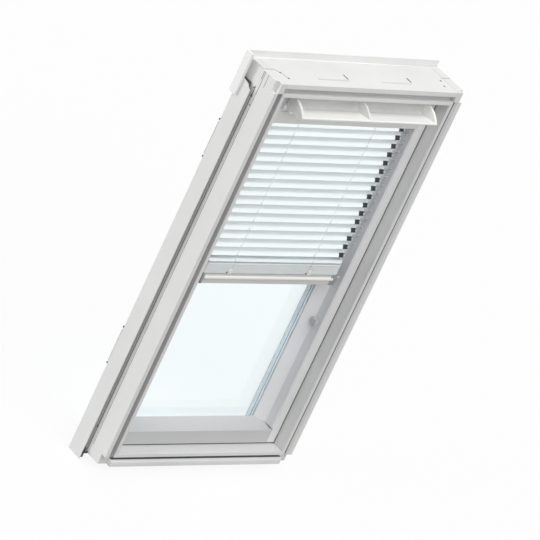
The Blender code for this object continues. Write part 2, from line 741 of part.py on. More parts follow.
def bar_front():
    """The bar's rounded front edge and its lip, down to the lip's lowest point."""
    centre = (BAR_FRONT + BAR_FRONT_RADIUS, BAR_FRONT_TOP - BAR_FRONT_RADIUS)
    lip = (BAR_FRONT + BAR_LIP_SETBACK, BAR_FRONT_TOP - BAR_LIP_DROP)
    return arc(centre, BAR_FRONT_RADIUS, 120, 210, 4) + [lip, (lip[0] + BAR_LIP_FLAT, lip[1])]


def bar_underside():
    """The hollow under the bar, from its lip back to the heel of the flap."""
    lip = bar_front()[-1]
    heel = (BAR_HEEL_DEPTH, BAR_FRONT_TOP - BAR_HEEL_DROP - BAR_TRAY)
    crest = (lip[0] + 2 * BAR_HOLLOW, heel[1] + BAR_HOLLOW)
    return curve(lip, crest, heel, 6)


def control_bar(vent):
    """The bar and the ventilation flap behind it, one moulding shaped like a scoop."""
    outline = scoop_outline() + bar_front() + bar_underside()
    outline += [
        (FLAP_DEPTH - FLAP_THICKNESS, FLAP_FOOT),
        (FLAP_DEPTH, FLAP_FOOT),
        (FLAP_DEPTH + FLAP_THICKNESS, outline[-1][1]),
        (FLAP_DEPTH + FLAP_THICKNESS, FLAP_TOP),
    ]
    return piece("control_bar", swept(outline, across, -BAR_HALF, BAR_HALF), BAR_WHITE, vent)


def rib_front():
    """The bracket's curved front edge, from its top to the bar's front."""
    top = (RIB_TOP_DEPTH, FLAP_TOP - RIB_CORNER)
    tip = (BAR_FRONT, BAR_FRONT_TOP - BAR_FRONT_RADIUS)
    middle = ((top[0] + tip[0]) / 2 - RIB_BULGE, (top[1] + tip[1]) / 2 + RIB_BULGE)
    return [top] + curve(top, middle, tip, 6)


def end_bracket(name, side, vent):
    """An end web that closes the scoop and turns on a stub pin."""
    outline = rib_front() + bar_front()[-3:] + bar_underside()
    outline += arc((HINGE_DEPTH, HINGE_HEIGHT), HINGE_HUB_RADIUS, 270, 450, 8)
    back = FLAP_DEPTH + FLAP_THICKNESS
    outline += [(back, FLAP_TOP - RIB_CORNER), (back - RIB_CORNER, FLAP_TOP)]
    outline += [(RIB_TOP_DEPTH + RIB_CORNER, FLAP_TOP)]
    ends = mirrored((BAR_HALF + FIT, BAR_HALF + FIT + END_RIB), side)
    obj = piece(name, swept(outline, across, *ends), BAR_WHITE, vent)
    far = side * (BAR_HALF + FIT + END_RIB + SINK)
    near = side * (BAR_HALF - SINK)
    radius = HINGE_PIN_RADIUS + FIT
    hole = turned([(near, 0), (near, radius), (far, radius), (far, 0)], HINGE_DEPTH, HINGE_HEIGHT, 16)
    return shaped(obj, hole)


def middle_bracket(vent):
    """A web that stands in the scoop's hollow."""
    outline = rib_front()[:-1] + list(reversed(scoop_outline(FIT)))
    half = MIDDLE_RIB / 2
    return piece("bar_bracket_middle", swept(outline, across, -half, half), BAR_WHITE, vent)


def slat_mesh():
    """A slat's crowned skin with rounded corners, lying flat about its own middle."""
    bm = bmesh.new()
    corner = SLAT_CORNER_RADIUS
    rounding = []
    for turn in (90, 60, 30, 0):
        inset = corner - corner * math.sin(math.radians(turn))
        half = SLAT_WIDTH / 2 - corner + corner * math.cos(math.radians(turn))
        rounding.append((inset, half))
    left, right = SLAT_ENDS
    columns = [(left + inset, half) for inset, half in rounding]
    columns += [(right - inset, half) for inset, half in reversed(rounding)]
    drop = math.sqrt(SLAT_CROWN_RADIUS**2 - (SLAT_WIDTH / 2) ** 2)
    rows = []
    for x, half in columns:
        across_slat = [half * i / SLAT_FACETS for i in range(-SLAT_FACETS, SLAT_FACETS + 1)]
        heights = [math.sqrt(SLAT_CROWN_RADIUS**2 - y * y) - drop for y in across_slat]
        rows.append([bm.verts.new(Vector((x, y, z)) * MM) for y, z in zip(across_slat, heights)])
    for row, following in zip(rows, rows[1:]):
        for i in range(len(row) - 1):
            bm.faces.new((row[i], following[i], following[i + 1], row[i + 1]))
    mesh = bpy.data.meshes.new("slat")
    bm.to_mesh(mesh)
    bm.free()
    mesh.materials.append(principled(SLAT_WHITE))
    for polygon in mesh.polygons:
        polygon.use_smooth = True
    return mesh


def slat_height(number):
    return FIRST_SLAT - (number - 1) * SLAT_PITCH


def slats(sash):
    """The open slats, each turning about its own middle."""
    mesh = slat_mesh()
    for number in range(1, SLAT_COUNT + 1):
        obj = bpy.data.objects.new(f"slat_{number:02d}", mesh)
        bpy.context.scene.collection.objects.link(obj)
        hang(obj, (0, BLIND_DEPTH, slat_height(number)), sash)
        obj.rotation_euler.x = math.radians(SLAT_TILT)
        solid = obj.modifiers.new("Sheet", "SOLIDIFY")
        solid.thickness = SLAT_THICKNESS * MM
        solid.offset = 0


def slat_carriers(sash):
    """The thin rods under the slats' crowns, with round shoes that run along the side channels."""
    shoe_inner = GUIDE_END_X - CARRIER_SHOE_LENGTH
    profile = [(GUIDE_END_X, 0), (GUIDE_END_X, CARRIER_SHOE_RADIUS), (shoe_inner, CARRIER_SHOE_RADIUS)]
    profile += [(shoe_inner, CARRIER_RADIUS)]
    profile += [(-x, radius) for x, radius in reversed(profile)]
    for number in range(2, SLAT_COUNT):
        height = slat_height(number)
        bm = turned(profile, BLIND_DEPTH, height, 12)
        point = (0, BLIND_DEPTH, height)
        piece(f"slat_carrier_{number:02d}", bm, NYLON_GREY, sash, point, smooth=True)


def ladder(name, x, sash):
    """A ladder cord: two strings with a rung under each slat, as one flat lattice."""
    tilt = math.radians(SLAT_TILT)
    reach = SLAT_WIDTH / 2 * math.cos(tilt) + LADDER_CLEARANCE
    below = CARRIER_RADIUS + LADDER_CLEARANCE
    half = LADDER_STRING / 2 / math.cos(tilt)
    slope = math.tan(tilt)
    outer = reach + LADDER_STRING
    columns = [(-outer, -reach), (-reach, -reach), (reach, reach), (outer, reach)]
    levels = []
    bm = bmesh.new()
    start, end = x - LADDER_STRING / 2, x + LADDER_STRING / 2
    for number in range(1, SLAT_COUNT + 1):
        middle = slat_height(number) - below / math.cos(tilt)
        rung = [(offset, middle + at * slope) for offset, at in columns]
        levels.append([(offset, height + half) for offset, height in rung])
        levels.append([(offset, height - half) for offset, height in rung])
    top = HEADRAIL_TOP - HEADRAIL_UNDERSIDE - FIT
    levels.insert(0, [(offset, top) for offset, at in columns])
    grid = [[bm.verts.new(place(start, BLIND_DEPTH + o, h)) for o, h in level] for level in levels]
    for i, (upper, lower) in enumerate(zip(grid, grid[1:])):
        is_rung = i % 2 == 1
        for j in range(3) if is_rung else (0, 2):
            bm.faces.new((upper[j], upper[j + 1], lower[j + 1], lower[j]))
    raised = bmesh.ops.extrude_face_region(bm, geom=bm.faces[:])["geom"]
    shift = Vector((end - start, 0, 0)) * MM
    bmesh.ops.translate(bm, verts=[v for v in raised if isinstance(v, bmesh.types.BMVert)], vec=shift)
    bmesh.ops.recalc_face_normals(bm, faces=bm.faces)
    return piece(name, bm, CORD_WHITE, sash)


def slat_stack(rail):
    """The slats gathered on the bottom rail, with a notch between each and the next."""
    front, back = RAIL_FRONT, RAIL_FRONT + RAIL_WIDTH
    edge = []
    for i in range(STACK_SLATS):
        low = STACK_LOW + i * STACK_PITCH
        edge += [(0.0, low), (0.0, low + STACK_PITCH * 0.7), (STACK_NOTCH, low + STACK_PITCH * 0.85)]
    edge[-1] = (0.0, STACK_TOP)
    outline = [(front + inset, height) for inset, height in edge]
    outline += [(back - inset, height) for inset, height in reversed(edge)]
    return piece("slat_stack", swept(outline, across, *STACK_ENDS), SLAT_WHITE, rail)


def bottom_rail(rail):
    """The blind's lower rail, with a hollow in its front for the roller and a guide peg at each end."""
    front, back = RAIL_FRONT, RAIL_FRONT + RAIL_WIDTH
    obj = piece("bottom_rail", block(RAIL_ENDS, (front, back), (RAIL_LOW, RAIL_TOP)), RAIL_ENAMEL, rail)
    softened(obj, RAIL_EDGE_RADIUS)
    radius = RAIL_GUIDE_RADIUS
    height = (RAIL_LOW + RAIL_TOP) / 2
    for side, end in zip((-1, 1), RAIL_ENDS):
        tip, root = side * GUIDE_END_X, end - side * SINK
        peg = [(tip, 0), (tip, radius), (root, radius), (root, 0)]
        shaped(obj, turned(peg, BLIND_DEPTH, height, 12), "UNION")
    cove = [(x, radius + FIT if radius else 0) for x, radius in roller_profile()]
    cove = [(x + math.copysign(FIT, x), radius) for x, radius in cove]
    return shaped(obj, turned(cove, ROLLER_DEPTH, ROLLER_HEIGHT, 24))


def roller_profile():
    left, right = ROLLER_ENDS
    reach, journal = ROLLER_JOURNAL_LENGTH, ROLLER_JOURNAL_RADIUS
    profile = [(left - reach, 0), (left - reach, journal), (left, journal), (left, ROLLER_RADIUS)]
    profile += [(right, ROLLER_RADIUS), (right, journal), (right + reach, journal), (right + reach, 0)]
    return profile


def tilt_roller(rail):
    """The round bar in the rail's front that is rolled to tilt the slats."""
    bm = turned(roller_profile(), ROLLER_DEPTH, ROLLER_HEIGHT, 24)
    point = (0, ROLLER_DEPTH, ROLLER_HEIGHT)
    return piece("tilt_roller", bm, ROLLER_CREAM, rail, point, smooth=True)


def build_frame():
    frame_top()
    frame_bottom()
    top_cover()
    bottom_cladding()
    for name, side in (("left", -1), ("right", 1)):
        frame_side("frame_" + name, side)
        side_cladding("side_cladding_" + name, side)
        pivot_pin("pivot_pin_" + name, side)
    for place_name, low in BRACKET_HEIGHTS.items():
        side_bracket(place_name, low)


def build_sash():
    sash = joint("sash_pivot_axis", (0, PIVOT_DEPTH, PIVOT_HEIGHT))
    sash_top(sash)
    sash_bottom(sash)
    glass_unit(sash)
    headrail(sash)
    channel_stop(sash)
    for name, side in (("left", -1), ("right", 1)):
        sash_side("sash_" + name, side, sash)
        side_channel("side_channel_" + name, side, sash)
    return sash


def build_control_bar(sash):
    vent = joint("vent_bar_axis", (0, HINGE_DEPTH, HINGE_HEIGHT), sash)
    control_bar(vent)
    end_bracket("bar_bracket_left", -1, vent)
    end_bracket("bar_bracket_right", 1, vent)
    middle_bracket(vent)


def build_blind(sash):
    slats(sash)
    slat_carriers(sash)
    ladder("ladder_left", LADDER_LEFT_X, sash)
    ladder("ladder_right", LADDER_RIGHT_X, sash)
    rail = joint("blind_raise_axis", (0, BLIND_DEPTH, RAIL_LOW), sash)
    slat_stack(rail)
    bottom_rail(rail)
    tilt_roller(rail)


def main():
    clear_scene()
    bpy.context.scene.unit_settings.system = "METRIC"
    build_frame()
    sash = build_sash()
    build_control_bar(sash)
    build_blind(sash)


main()
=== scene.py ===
"""The looks of a centre-pivot roof window with a venetian blind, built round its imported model.

Places are in millimetres: x across the window, depth back from the frame's front, height up from its foot.
"""

import json
import math
import random

import bmesh
import bpy
from mathutils import Euler, Matrix, Vector

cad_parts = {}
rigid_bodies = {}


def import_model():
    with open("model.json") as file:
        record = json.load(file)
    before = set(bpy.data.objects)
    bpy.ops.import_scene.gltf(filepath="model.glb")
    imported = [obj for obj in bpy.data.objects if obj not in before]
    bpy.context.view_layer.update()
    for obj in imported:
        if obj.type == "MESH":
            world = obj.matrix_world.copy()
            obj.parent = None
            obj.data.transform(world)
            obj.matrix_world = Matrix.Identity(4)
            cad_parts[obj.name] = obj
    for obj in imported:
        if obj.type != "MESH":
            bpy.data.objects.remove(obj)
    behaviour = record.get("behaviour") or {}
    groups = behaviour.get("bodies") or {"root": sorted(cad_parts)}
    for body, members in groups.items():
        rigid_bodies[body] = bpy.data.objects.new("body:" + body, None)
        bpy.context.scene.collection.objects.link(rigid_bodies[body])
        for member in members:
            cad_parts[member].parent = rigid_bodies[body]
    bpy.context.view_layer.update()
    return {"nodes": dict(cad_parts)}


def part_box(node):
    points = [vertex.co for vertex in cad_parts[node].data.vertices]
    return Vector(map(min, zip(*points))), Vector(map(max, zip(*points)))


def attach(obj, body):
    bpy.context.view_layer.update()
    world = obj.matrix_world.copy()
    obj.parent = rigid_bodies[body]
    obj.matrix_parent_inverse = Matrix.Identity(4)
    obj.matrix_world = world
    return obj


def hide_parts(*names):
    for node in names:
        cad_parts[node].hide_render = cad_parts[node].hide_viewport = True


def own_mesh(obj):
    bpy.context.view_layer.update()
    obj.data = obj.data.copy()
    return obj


MM = 0.001
DEPTH_ORIGIN = 39.0
HEIGHT_ORIGIN = -19.5
SIDES = (-1, 1)
FRONT = (0, -1, 0)
TOP = (0, 0, 1)

# The frame's sizes, which the details on it share
SIDE = 275.0
FRAME_TOP = 978.0
OPENING_X = 242.3

# The blind's slats, the first at the top
SLAT_COUNT = 16
FIRST_SLAT = 862.4
SLAT_PITCH = 21.73
LAST_SLAT = FIRST_SLAT - (SLAT_COUNT - 1) * SLAT_PITCH
BLIND_DEPTH = 45.0
SLAT_TILT = 48.0
SLAT_ENDS = (-204.0, 188.0)
SLAT_HALF = 12.5
SLAT_THICKNESS = 0.5
CROWN_RADIUS = 35.0
CORNER_RADIUS = 5.0
LADDER_PLACES = {"left": -127.0, "right": 99.0}
NOTCH_DEPTH = 4.2
NOTCH_HALF = 1.2

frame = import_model()
nodes = frame["nodes"]
rng = random.Random(7)


def at(x, depth, height):
    """A point of the window, in metres from the model's origin."""
    return Vector((x, depth - DEPTH_ORIGIN, height - HEIGHT_ORIGIN)) * MM


def reach(node):
    """A CAD node's extent across, in depth and in height."""
    origin = (0.0, DEPTH_ORIGIN, HEIGHT_ORIGIN)
    return [(round(a / MM + o, 2), round(b / MM + o, 2)) for a, b, o in zip(*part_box(node), origin)]


# Materials, some with a grain drawn along the window's width or up its height
ALONG = (1.0, 30.0, 30.0)
UPRIGHT = (30.0, 30.0, 1.0)


def node_material(name):
    material = bpy.data.materials.new(name)
    material.use_nodes = True
    tree = material.node_tree
    shader = tree.nodes["Principled BSDF"]
    return material, tree, shader


def coordinates(tree, scale=(1, 1, 1)):
    where = tree.nodes.new("ShaderNodeTexCoord")
    mapping = tree.nodes.new("ShaderNodeMapping")
    mapping.inputs["Scale"].default_value = scale
    tree.links.new(where.outputs["Object"], mapping.inputs["Vector"])
    return mapping.outputs["Vector"]


def noise(tree, vector, scale, detail=3.0):
    found = tree.nodes.new("ShaderNodeTexNoise")
    found.inputs["Scale"].default_value = scale
    found.inputs["Detail"].default_value = detail
    tree.links.new(vector, found.inputs["Vector"])
    return found.outputs["Fac"]


def spread(tree, value, low, high):
    """Maps the middle of a noise to a range."""
    found = tree.nodes.new("ShaderNodeMapRange")
    found.inputs["From Min"].default_value = 0.3
    found.inputs["From Max"].default_value = 0.7
    found.inputs["To Min"].default_value = low
    found.inputs["To Max"].default_value = high
    tree.links.new(value, found.inputs["Value"])
    return found.outputs["Result"]


def mixed(tree, factor, first, second):
    found = tree.nodes.new("ShaderNodeMix")
    found.data_type = "RGBA"
    colours = [s for s in found.inputs if s.type == "RGBA"]
    colours[0].default_value = (*first, 1)
    colours[1].default_value = (*second, 1)
    tree.links.new(factor, found.inputs[0])
    return [s for s in found.outputs if s.type == "RGBA"][0]


def bumped(tree, shader, heights, strength, distance):
    found = tree.nodes.new("ShaderNodeBump")
    found.inputs["Strength"].default_value = strength
    found.inputs["Distance"].default_value = distance
    tree.links.new(heights, found.inputs["Height"])
    tree.links.new(found.outputs["Normal"], shader.inputs["Normal"])


def finish(
    name, colour, rough, metal=0.0, vary=0.03, grain=900.0, stretch=(1, 1, 1), relief=0.10, cloud=9.0
):
    """A paint, plastic or metal: a soft drift of colour, a fine grain and a roughness that varies with it."""
    material, tree, shader = node_material(name)
    wide = noise(tree, coordinates(tree), cloud, 4.0)
    fine = noise(tree, coordinates(tree, stretch), grain, 2.0)
    darker = tuple(c * (1 - vary) for c in colour)
    lighter = tuple(min(1.0, c * (1 + vary / 3)) for c in colour)
    tree.links.new(mixed(tree, spread(tree, wide, 0, 1), darker, lighter), shader.inputs["Base Color"])
    tree.links.new(spread(tree, fine, rough - 0.05, rough + 0.06), shader.inputs["Roughness"])
    shader.inputs["Metallic"].default_value = metal
    bumped(tree, shader, fine, relief, 0.0002)
    return material


def enamel(name, colour, rough=0.36, vary=0.03, relief=0.05):
    """A stove enamel with a faint grain drawn along the window's width."""
    return finish(name, colour, rough, vary=vary, grain=240.0, stretch=ALONG, relief=relief)


def sheet_paint(name, colour):
    """A powder paint on sheet metal, with a fine orange peel."""
    return finish(name, colour, 0.46, grain=1400.0, relief=0.16)


def pane_material():
    """Clear float glass that lets the light through to what is behind it."""
    material, tree, shader = node_material("pane")
    shader.inputs["Base Color"].default_value = (0.957, 0.990, 1.0, 1)
    shader.inputs["Transmission Weight"].default_value = 1.0
    shader.inputs["IOR"].default_value = 1.45
    film = noise(tree, coordinates(tree), 14.0, 3.0)
    tree.links.new(spread(tree, film, 0.0, 0.012), shader.inputs["Roughness"])
    path = tree.nodes.new("ShaderNodeLightPath")
    clear = tree.nodes.new("ShaderNodeBsdfTransparent")
    clear.inputs["Color"].default_value = (0.94, 0.98, 1.0, 1)
    mix = tree.nodes.new("ShaderNodeMixShader")
    tree.links.new(path.outputs["Is Shadow Ray"], mix.inputs["Fac"])
    tree.links.new(shader.outputs["BSDF"], mix.inputs[1])
    tree.links.new(clear.outputs["BSDF"], mix.inputs[2])
    tree.links.new(mix.outputs["Shader"], tree.nodes["Material Output"].inputs["Surface"])
    return material


# The frame and its cladding
LACQUER = finish("white_lacquer", (0.80, 0.80, 0.79), 0.40)
# Painted shade: a darker copy of the white lacquer for the frame's side members, standing in for the lower
# light on them.
LACQUER_SHADED = finish("white_lacquer_painted_shade", (0.765, 0.765, 0.755), 0.40)
SHEET = sheet_paint("painted_sheet", (0.76, 0.76, 0.75))
COVER = sheet_paint("cover_sheet", (0.86, 0.86, 0.85))
BRACKET = sheet_paint("bracket_grey", (0.60, 0.60, 0.59))
STEEL = finish("pivot_steel", (0.55, 0.56, 0.57), 0.30, metal=1.0, stretch=ALONG, grain=300.0)
HEAD = finish("screw_zinc", (0.32, 0.32, 0.33), 0.34, metal=1.0, grain=2400.0)
# Painted shade for the inner walls of the frame's grooves.
GROOVE_WALL_SHADE = finish("inner_groove_shade", (0.62, 0.62, 0.61), 0.6, vary=0.05)
SOFT = finish("pad_shadow", (0.60, 0.60, 0.59), 0.6, vary=0.05)
SEAM = finish("seam_shadow", (0.16, 0.16, 0.165), 0.8, vary=0.2, relief=0.0)
# Painted shade in the frame's grooves and in the gap at the cladding's edge.
GAP_SHADE = finish("gap_shade_grey", (0.14, 0.14, 0.145), 0.6, vary=0.1, grain=1600.0, relief=0.2)
RUBBER = finish("seal_black", (0.060, 0.062, 0.065), 0.62, vary=0.2, grain=1600.0, relief=0.3)

# The sash, its glass and its control bar
SASH = finish("sash_white", (0.83, 0.83, 0.83), 0.38)
# Painted shade: a darker copy of the sash's white for its bottom member and bead, standing in for the light
# falling off there.
SASH_SHADED = finish("sash_white_painted_shade", (0.60, 0.60, 0.60), 0.38)
PANE = pane_material()
SPACER = finish("spacer_grey", (0.68, 0.73, 0.77), 0.34, stretch=UPRIGHT, grain=220.0)
BAR = finish("bar_white", (0.95, 0.95, 0.92), 0.34, vary=0.02)
# Painted shade: a darker copy of the bar's white for the left and middle brackets, standing in for shade
# beside the filter.
BAR_SHADED = finish("web_white", (0.84, 0.84, 0.82), 0.34, vary=0.02)
# An air filter whose grey is partly painted shade of the flap's hollow.
FILTER_AND_SHADE = finish("filter_grey_and_shade", (0.66, 0.66, 0.66), 0.8, vary=0.06, grain=1200.0, relief=0.6, cloud=40.0)

# The blind
CHANNEL = finish("channel_grey", (0.78, 0.775, 0.79), 0.38, stretch=UPRIGHT, grain=260.0, relief=0.05)
SLAT = enamel("slat_white", (0.89, 0.94, 0.945), vary=0.015, relief=0.04)
# Painted light: a lighter copy of the slat enamel for the gathered slats, standing in for more light on them.
GATHERED_LIT = enamel("gathered_white_painted_light", (0.92, 0.955, 0.96), 0.40, vary=0.05)
RAIL = enamel("rail_enamel", (0.72, 0.71, 0.69))
RAIL_FOOT = enamel("rail_enamel_foot", (0.66, 0.65, 0.63))
RAIL_BAR = enamel("rail_bar_white", (0.90, 0.89, 0.87), 0.30, relief=0.04)
ROLLER = finish("roller_cream", (0.90, 0.88, 0.83), 0.26, vary=0.02)
CORD = finish("cord_white", (0.86, 0.89, 0.89), 0.85, grain=2600.0, relief=0.5)
NYLON = finish("nylon_grey", (0.55, 0.56, 0.57), 0.50, grain=1500.0)
TONGUE = finish("tongue_grey", (0.30, 0.33, 0.33), 0.50, grain=1500.0)
CLIP = finish("clip_dark", (0.020, 0.028, 0.030), 0.42, vary=0.15, grain=1800.0)

CAD_FINISH = {
    LACQUER: ("frame_top", "frame_bottom"),
    LACQUER_SHADED: ("frame_left", "frame_right"),
    COVER: ("top_cover",),
    SHEET: ("side_cladding_left", "side_cladding_right", "bottom_cladding"),
    BRACKET: ("side_bracket_upper", "side_bracket_lower"),
    STEEL: ("pivot_pin_left", "pivot_pin_right"),
    SASH: ("sash_left", "sash_right", "sash_top"),
    SASH_SHADED: ("sash_bottom",),
    BAR: ("control_bar", "bar_bracket_right"),
    BAR_SHADED: ("bar_bracket_left", "bar_bracket_middle"),
    CHANNEL: ("side_channel_left", "side_channel_right"),
    RAIL: ("blind_headrail",),
    RAIL_FOOT: ("bottom_rail",),
    ROLLER: ("tilt_roller",),
    NYLON: ("channel_stop",) + tuple(f"slat_carrier_{n:02d}" for n in range(2, SLAT_COUNT)),
}


def dress(node, material):
    """Gives a CAD node its finish, and shading that is smooth over its curves and crisp at its edges."""
    obj = nodes[node]
    for slot in obj.material_slots:
        slot.material = material
    custom = obj.data.attributes.get("custom_normal")
    if custom:
        obj.data.attributes.remove(custom)
    for polygon in obj.data.polygons:
        polygon.use_smooth = True
    weld = obj.modifiers.new("Weld", "WELD")
    weld.merge_threshold = 1e-5
    split = obj.modifiers.new("Crisp edges", "EDGE_SPLIT")
    split.split_angle = math.radians(50)
    level = obj.modifiers.new("Flat faces", "WEIGHTED_NORMAL")
    level.mode = "FACE_AREA"
    level.weight = 90


# Mesh helpers
def mesh_of(name, bm, material, sharp=35):
    """A finished mesh, smooth over its curves and crisp at edges over sharp degrees."""
    bmesh.ops.recalc_face_normals(bm, faces=bm.faces)
    mesh = bpy.data.meshes.new(name)
    bm.to_mesh(mesh)
    bm.free()
    mesh.materials.append(material)
    mesh.shade_smooth()
    mesh.set_sharp_from_angle(angle=math.radians(sharp))
    return mesh


def placed(name, mesh, matrix, body):
    """An object that shows a mesh at a place and rides on a body."""
    obj = bpy.data.objects.new(name, mesh)
    bpy.context.scene.collection.objects.link(obj)
    obj.matrix_world = matrix
    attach(obj, body)
    return obj


def piece(name, bm, material, body, sharp=35):
    """An object from bmesh work at its own place in the window."""
    return placed(name, mesh_of(name, bm, material, sharp), Matrix.Identity(4), body)


def add_box(bm, xs, depths, heights, radius=0.0, segments=2):
    """A box between pairs of places, with rounded edges."""
    low, high = at(xs[0], depths[0], heights[0]), at(xs[1], depths[1], heights[1])
    made = bmesh.ops.create_cube(bm, size=1.0)["verts"]
    middle, size = (low + high) / 2, high - low
    for v in made:
        v.co = Vector([middle[i] + v.co[i] * size[i] for i in range(3)])
    if radius:
        edges = list({e for v in made for e in v.link_edges})
        bmesh.ops.bevel(bm, geom=edges, offset=radius * MM, segments=segments, affect="EDGES", profile=0.5)


def add_prism(bm, outline, place, start, end):
    """A closed outline carried straight from start to end."""
    verts = [bm.verts.new(place(start, *p)) for p in outline]
    face = bm.faces.new(verts)
    raised = bmesh.ops.extrude_face_region(bm, geom=[face])["geom"]
    shift = place(end, *outline[0]) - place(start, *outline[0])
    bmesh.ops.translate(bm, verts=[v for v in raised if isinstance(v, bmesh.types.BMVert)], vec=shift)


def add_tube(bm, points, radius, sides=8):
    """A round cord through points, closed at both ends."""
    rings = []
    turn = None
    for i, point in enumerate(points):
        ahead = points[min(i + 1, len(points) - 1)] - points[max(i - 1, 0)]
        ahead.normalize()
        if turn is None:
            turn = ahead.orthogonal().normalized()
        turn = (turn - ahead * turn.dot(ahead)).normalized()
        other = ahead.cross(turn)
        ring = []
        for k in range(sides):
            a = math.tau * k / sides
            ring.append(bm.verts.new(point + (turn * math.cos(a) + other * math.sin(a)) * radius * MM))
        rings.append(ring)
    for first, second in zip(rings, rings[1:]):
        for k in range(sides):
            bm.faces.new((first[k], first[(k + 1) % sides], second[(k + 1) % sides], second[k]))
    bm.faces.new(list(reversed(rings[0])))
    bm.faces.new(rings[-1])


def add_lathe(bm, profile, centre, axis, steps=24):
    """A turned solid from pairs of distance along its axis and radius."""
    axis = Vector(axis).normalized()
    side = axis.orthogonal().normalized()
    other = axis.cross(side)
    rings = []
    for along, radius in profile:
        base = centre + axis * along * MM
        if not radius:
            rings.append([bm.verts.new(base)])
            continue
        ring = []
        for k in range(steps):
            a = math.tau * k / steps
            ring.append(bm.verts.new(base + (side * math.cos(a) + other * math.sin(a)) * radius * MM))
        rings.append(ring)
    for first, second in zip(rings, rings[1:]):
        for k in range(steps):
            n = (k + 1) % steps
            if len(first) == 1:
                bm.faces.new((first[0], second[n], second[k]))
            elif len(second) == 1:
                bm.faces.new((first[k], first[n], second[0]))
            else:
                bm.faces.new((first[k], first[n], second[n], second[k]))


def add_line(bm, points, normal, width, proud=0.12, sunk=0.3):
    """A thin flat strip along points on a surface, standing a little proud of it."""
    normal = Vector(normal)
    for first, second in zip(points, points[1:]):
        along = (second - first).normalized()
        across = along.cross(normal) * width / 2 * MM
        low, high = normal * -sunk * MM, normal * proud * MM
        corners = (low - across, low + across, high + across, high - across)
        ends = []
        for point, overlap in ((first, -width), (second, width)):
            point = point + along * overlap / 2 * MM
            ends.append([bm.verts.new(point + corner) for corner in corners])
        for k in range(4):
            bm.faces.new((ends[0][k], ends[0][(k + 1) % 4], ends[1][(k + 1) % 4], ends[1][k]))
        bm.faces.new(list(reversed(ends[0])))
        bm.faces.new(ends[1])


def add_ring(bm, outer, inner, depths):
    """A rectangular ring: outer and inner are half width, lowest and highest place."""
    loops = []
    for depth in depths:
        for x, low, high in (outer, inner):
            corners = ((-x, low), (x, low), (x, high), (-x, high))
            loops.append([bm.verts.new(at(px, depth, ph)) for px, ph in corners])
    front_out, front_in, back_out, back_in = loops
    for k in range(4):
        n = (k + 1) % 4
        bm.faces.new((front_out[k], front_out[n], front_in[n], front_in[k]))
        bm.faces.new((back_out[n], back_out[k], back_in[k], back_in[n]))
        bm.faces.new((front_out[n], front_out[k], back_out[k], back_out[n]))
        bm.faces.new((front_in[k], front_in[n], back_in[n], back_in[k]))


def mirrored(side, *xs):
    """Places on the left, for side -1, or on the right, in rising order."""
    return sorted(side * x for x in xs)


# Slats
CORNER_STEPS = 8
NOTCH_STEPS = 6
SPAN_STEPS = 16


def crown(y):
    """The height of the slat's arched section over its edges."""
    return math.sqrt(CROWN_RADIUS**2 - y * y) - math.sqrt(CROWN_RADIUS**2 - SLAT_HALF**2)


def half_width(x):
    """The slat's half width at a place along it: round corners, and a notch for each ladder cord."""
    left, right = SLAT_ENDS
    inset = min(x - left, right - x)
    half = SLAT_HALF
    if inset < CORNER_RADIUS:
        half -= CORNER_RADIUS - math.sqrt(max(0.0, CORNER_RADIUS**2 - (CORNER_RADIUS - inset) ** 2))
    for place in LADDER_PLACES.values():
        off = abs(x - place)
        if off < NOTCH_HALF:
            half -= NOTCH_DEPTH * math.sqrt(1 - (off / NOTCH_HALF) ** 4)
    return half


def blade_columns():
    """The places along a slat, close together at its corners and notches."""
    left, right = SLAT_ENDS
    xs = set()
    for k in range(CORNER_STEPS + 1):
        inset = CORNER_RADIUS * (1 - math.cos(math.radians(90 * k / CORNER_STEPS)))
        xs |= {left + inset, right - inset}
    for place in LADDER_PLACES.values():
        for k in range(-NOTCH_STEPS, NOTCH_STEPS + 1):
            xs.add(place + NOTCH_HALF * math.sin(math.radians(90 * k / NOTCH_STEPS)))
    xs |= {left + (right - left) * k / SPAN_STEPS for k in range(1, SPAN_STEPS)}
    return sorted(xs)


def add_blade(bm, matrix, rows=12, thickness=SLAT_THICKNESS):
    """One slat's crowned blade, closed, placed by a matrix in the window's metres."""
    columns = blade_columns()
    skins = []
    for lift in (thickness / 2, -thickness / 2):
        grid = []
        for x in columns:
            half = half_width(x)
            ys = [half * (2 * i / rows - 1) for i in range(rows + 1)]
            grid.append([bm.verts.new(matrix @ (Vector((x, y, crown(y) + lift)) * MM)) for y in ys])
        skins.append(grid)
    top, under = skins
    for grid, flip in ((top, False), (under, True)):
        for a, b in zip(grid, grid[1:]):
            for i in range(rows):
                quad = (a[i], b[i], b[i + 1], a[i + 1])
                bm.faces.new(tuple(reversed(quad)) if flip else quad)
    border = [(c, 0) for c in range(len(columns))]
    border += [(len(columns) - 1, i) for i in range(1, rows + 1)]
    border += [(c, rows) for c in range(len(columns) - 2, -1, -1)]
    border += [(0, i) for i in range(rows - 1, 0, -1)]
    for (c0, i0), (c1, i1) in zip(border, border[1:] + border[:1]):
        bm.faces.new((top[c0][i0], under[c0][i0], under[c1][i1], top[c1][i1]))


def slat_place(height, tilt=SLAT_TILT, x=0.0, depth=BLIND_DEPTH):
    return Matrix.Translation(at(x, depth, height)) @ Matrix.Rotation(math.radians(tilt), 4, "X")


def local(along, y, z):
    """A point of a slat, in metres from its own middle."""
    return Vector((along, y, z)) * MM


def blade_mesh():
    bm = bmesh.new()
    add_blade(bm, Matrix.Identity(4))
    return mesh_of("slat_blade", bm, SLAT)


# Each part of a slat's end clip: where it starts and ends, and how far it stands off the slat
CLIP_PARTS = ((172.0, 177.8, 1.1), (177.8, 179.4, 0.55), (179.4, 185.6, 1.1))
CLIP_NEAR = -SLAT_HALF - 0.4
CLIP_FAR = -2.9
CLIP_UNDER = 0.9
CLIP_STEPS = 8


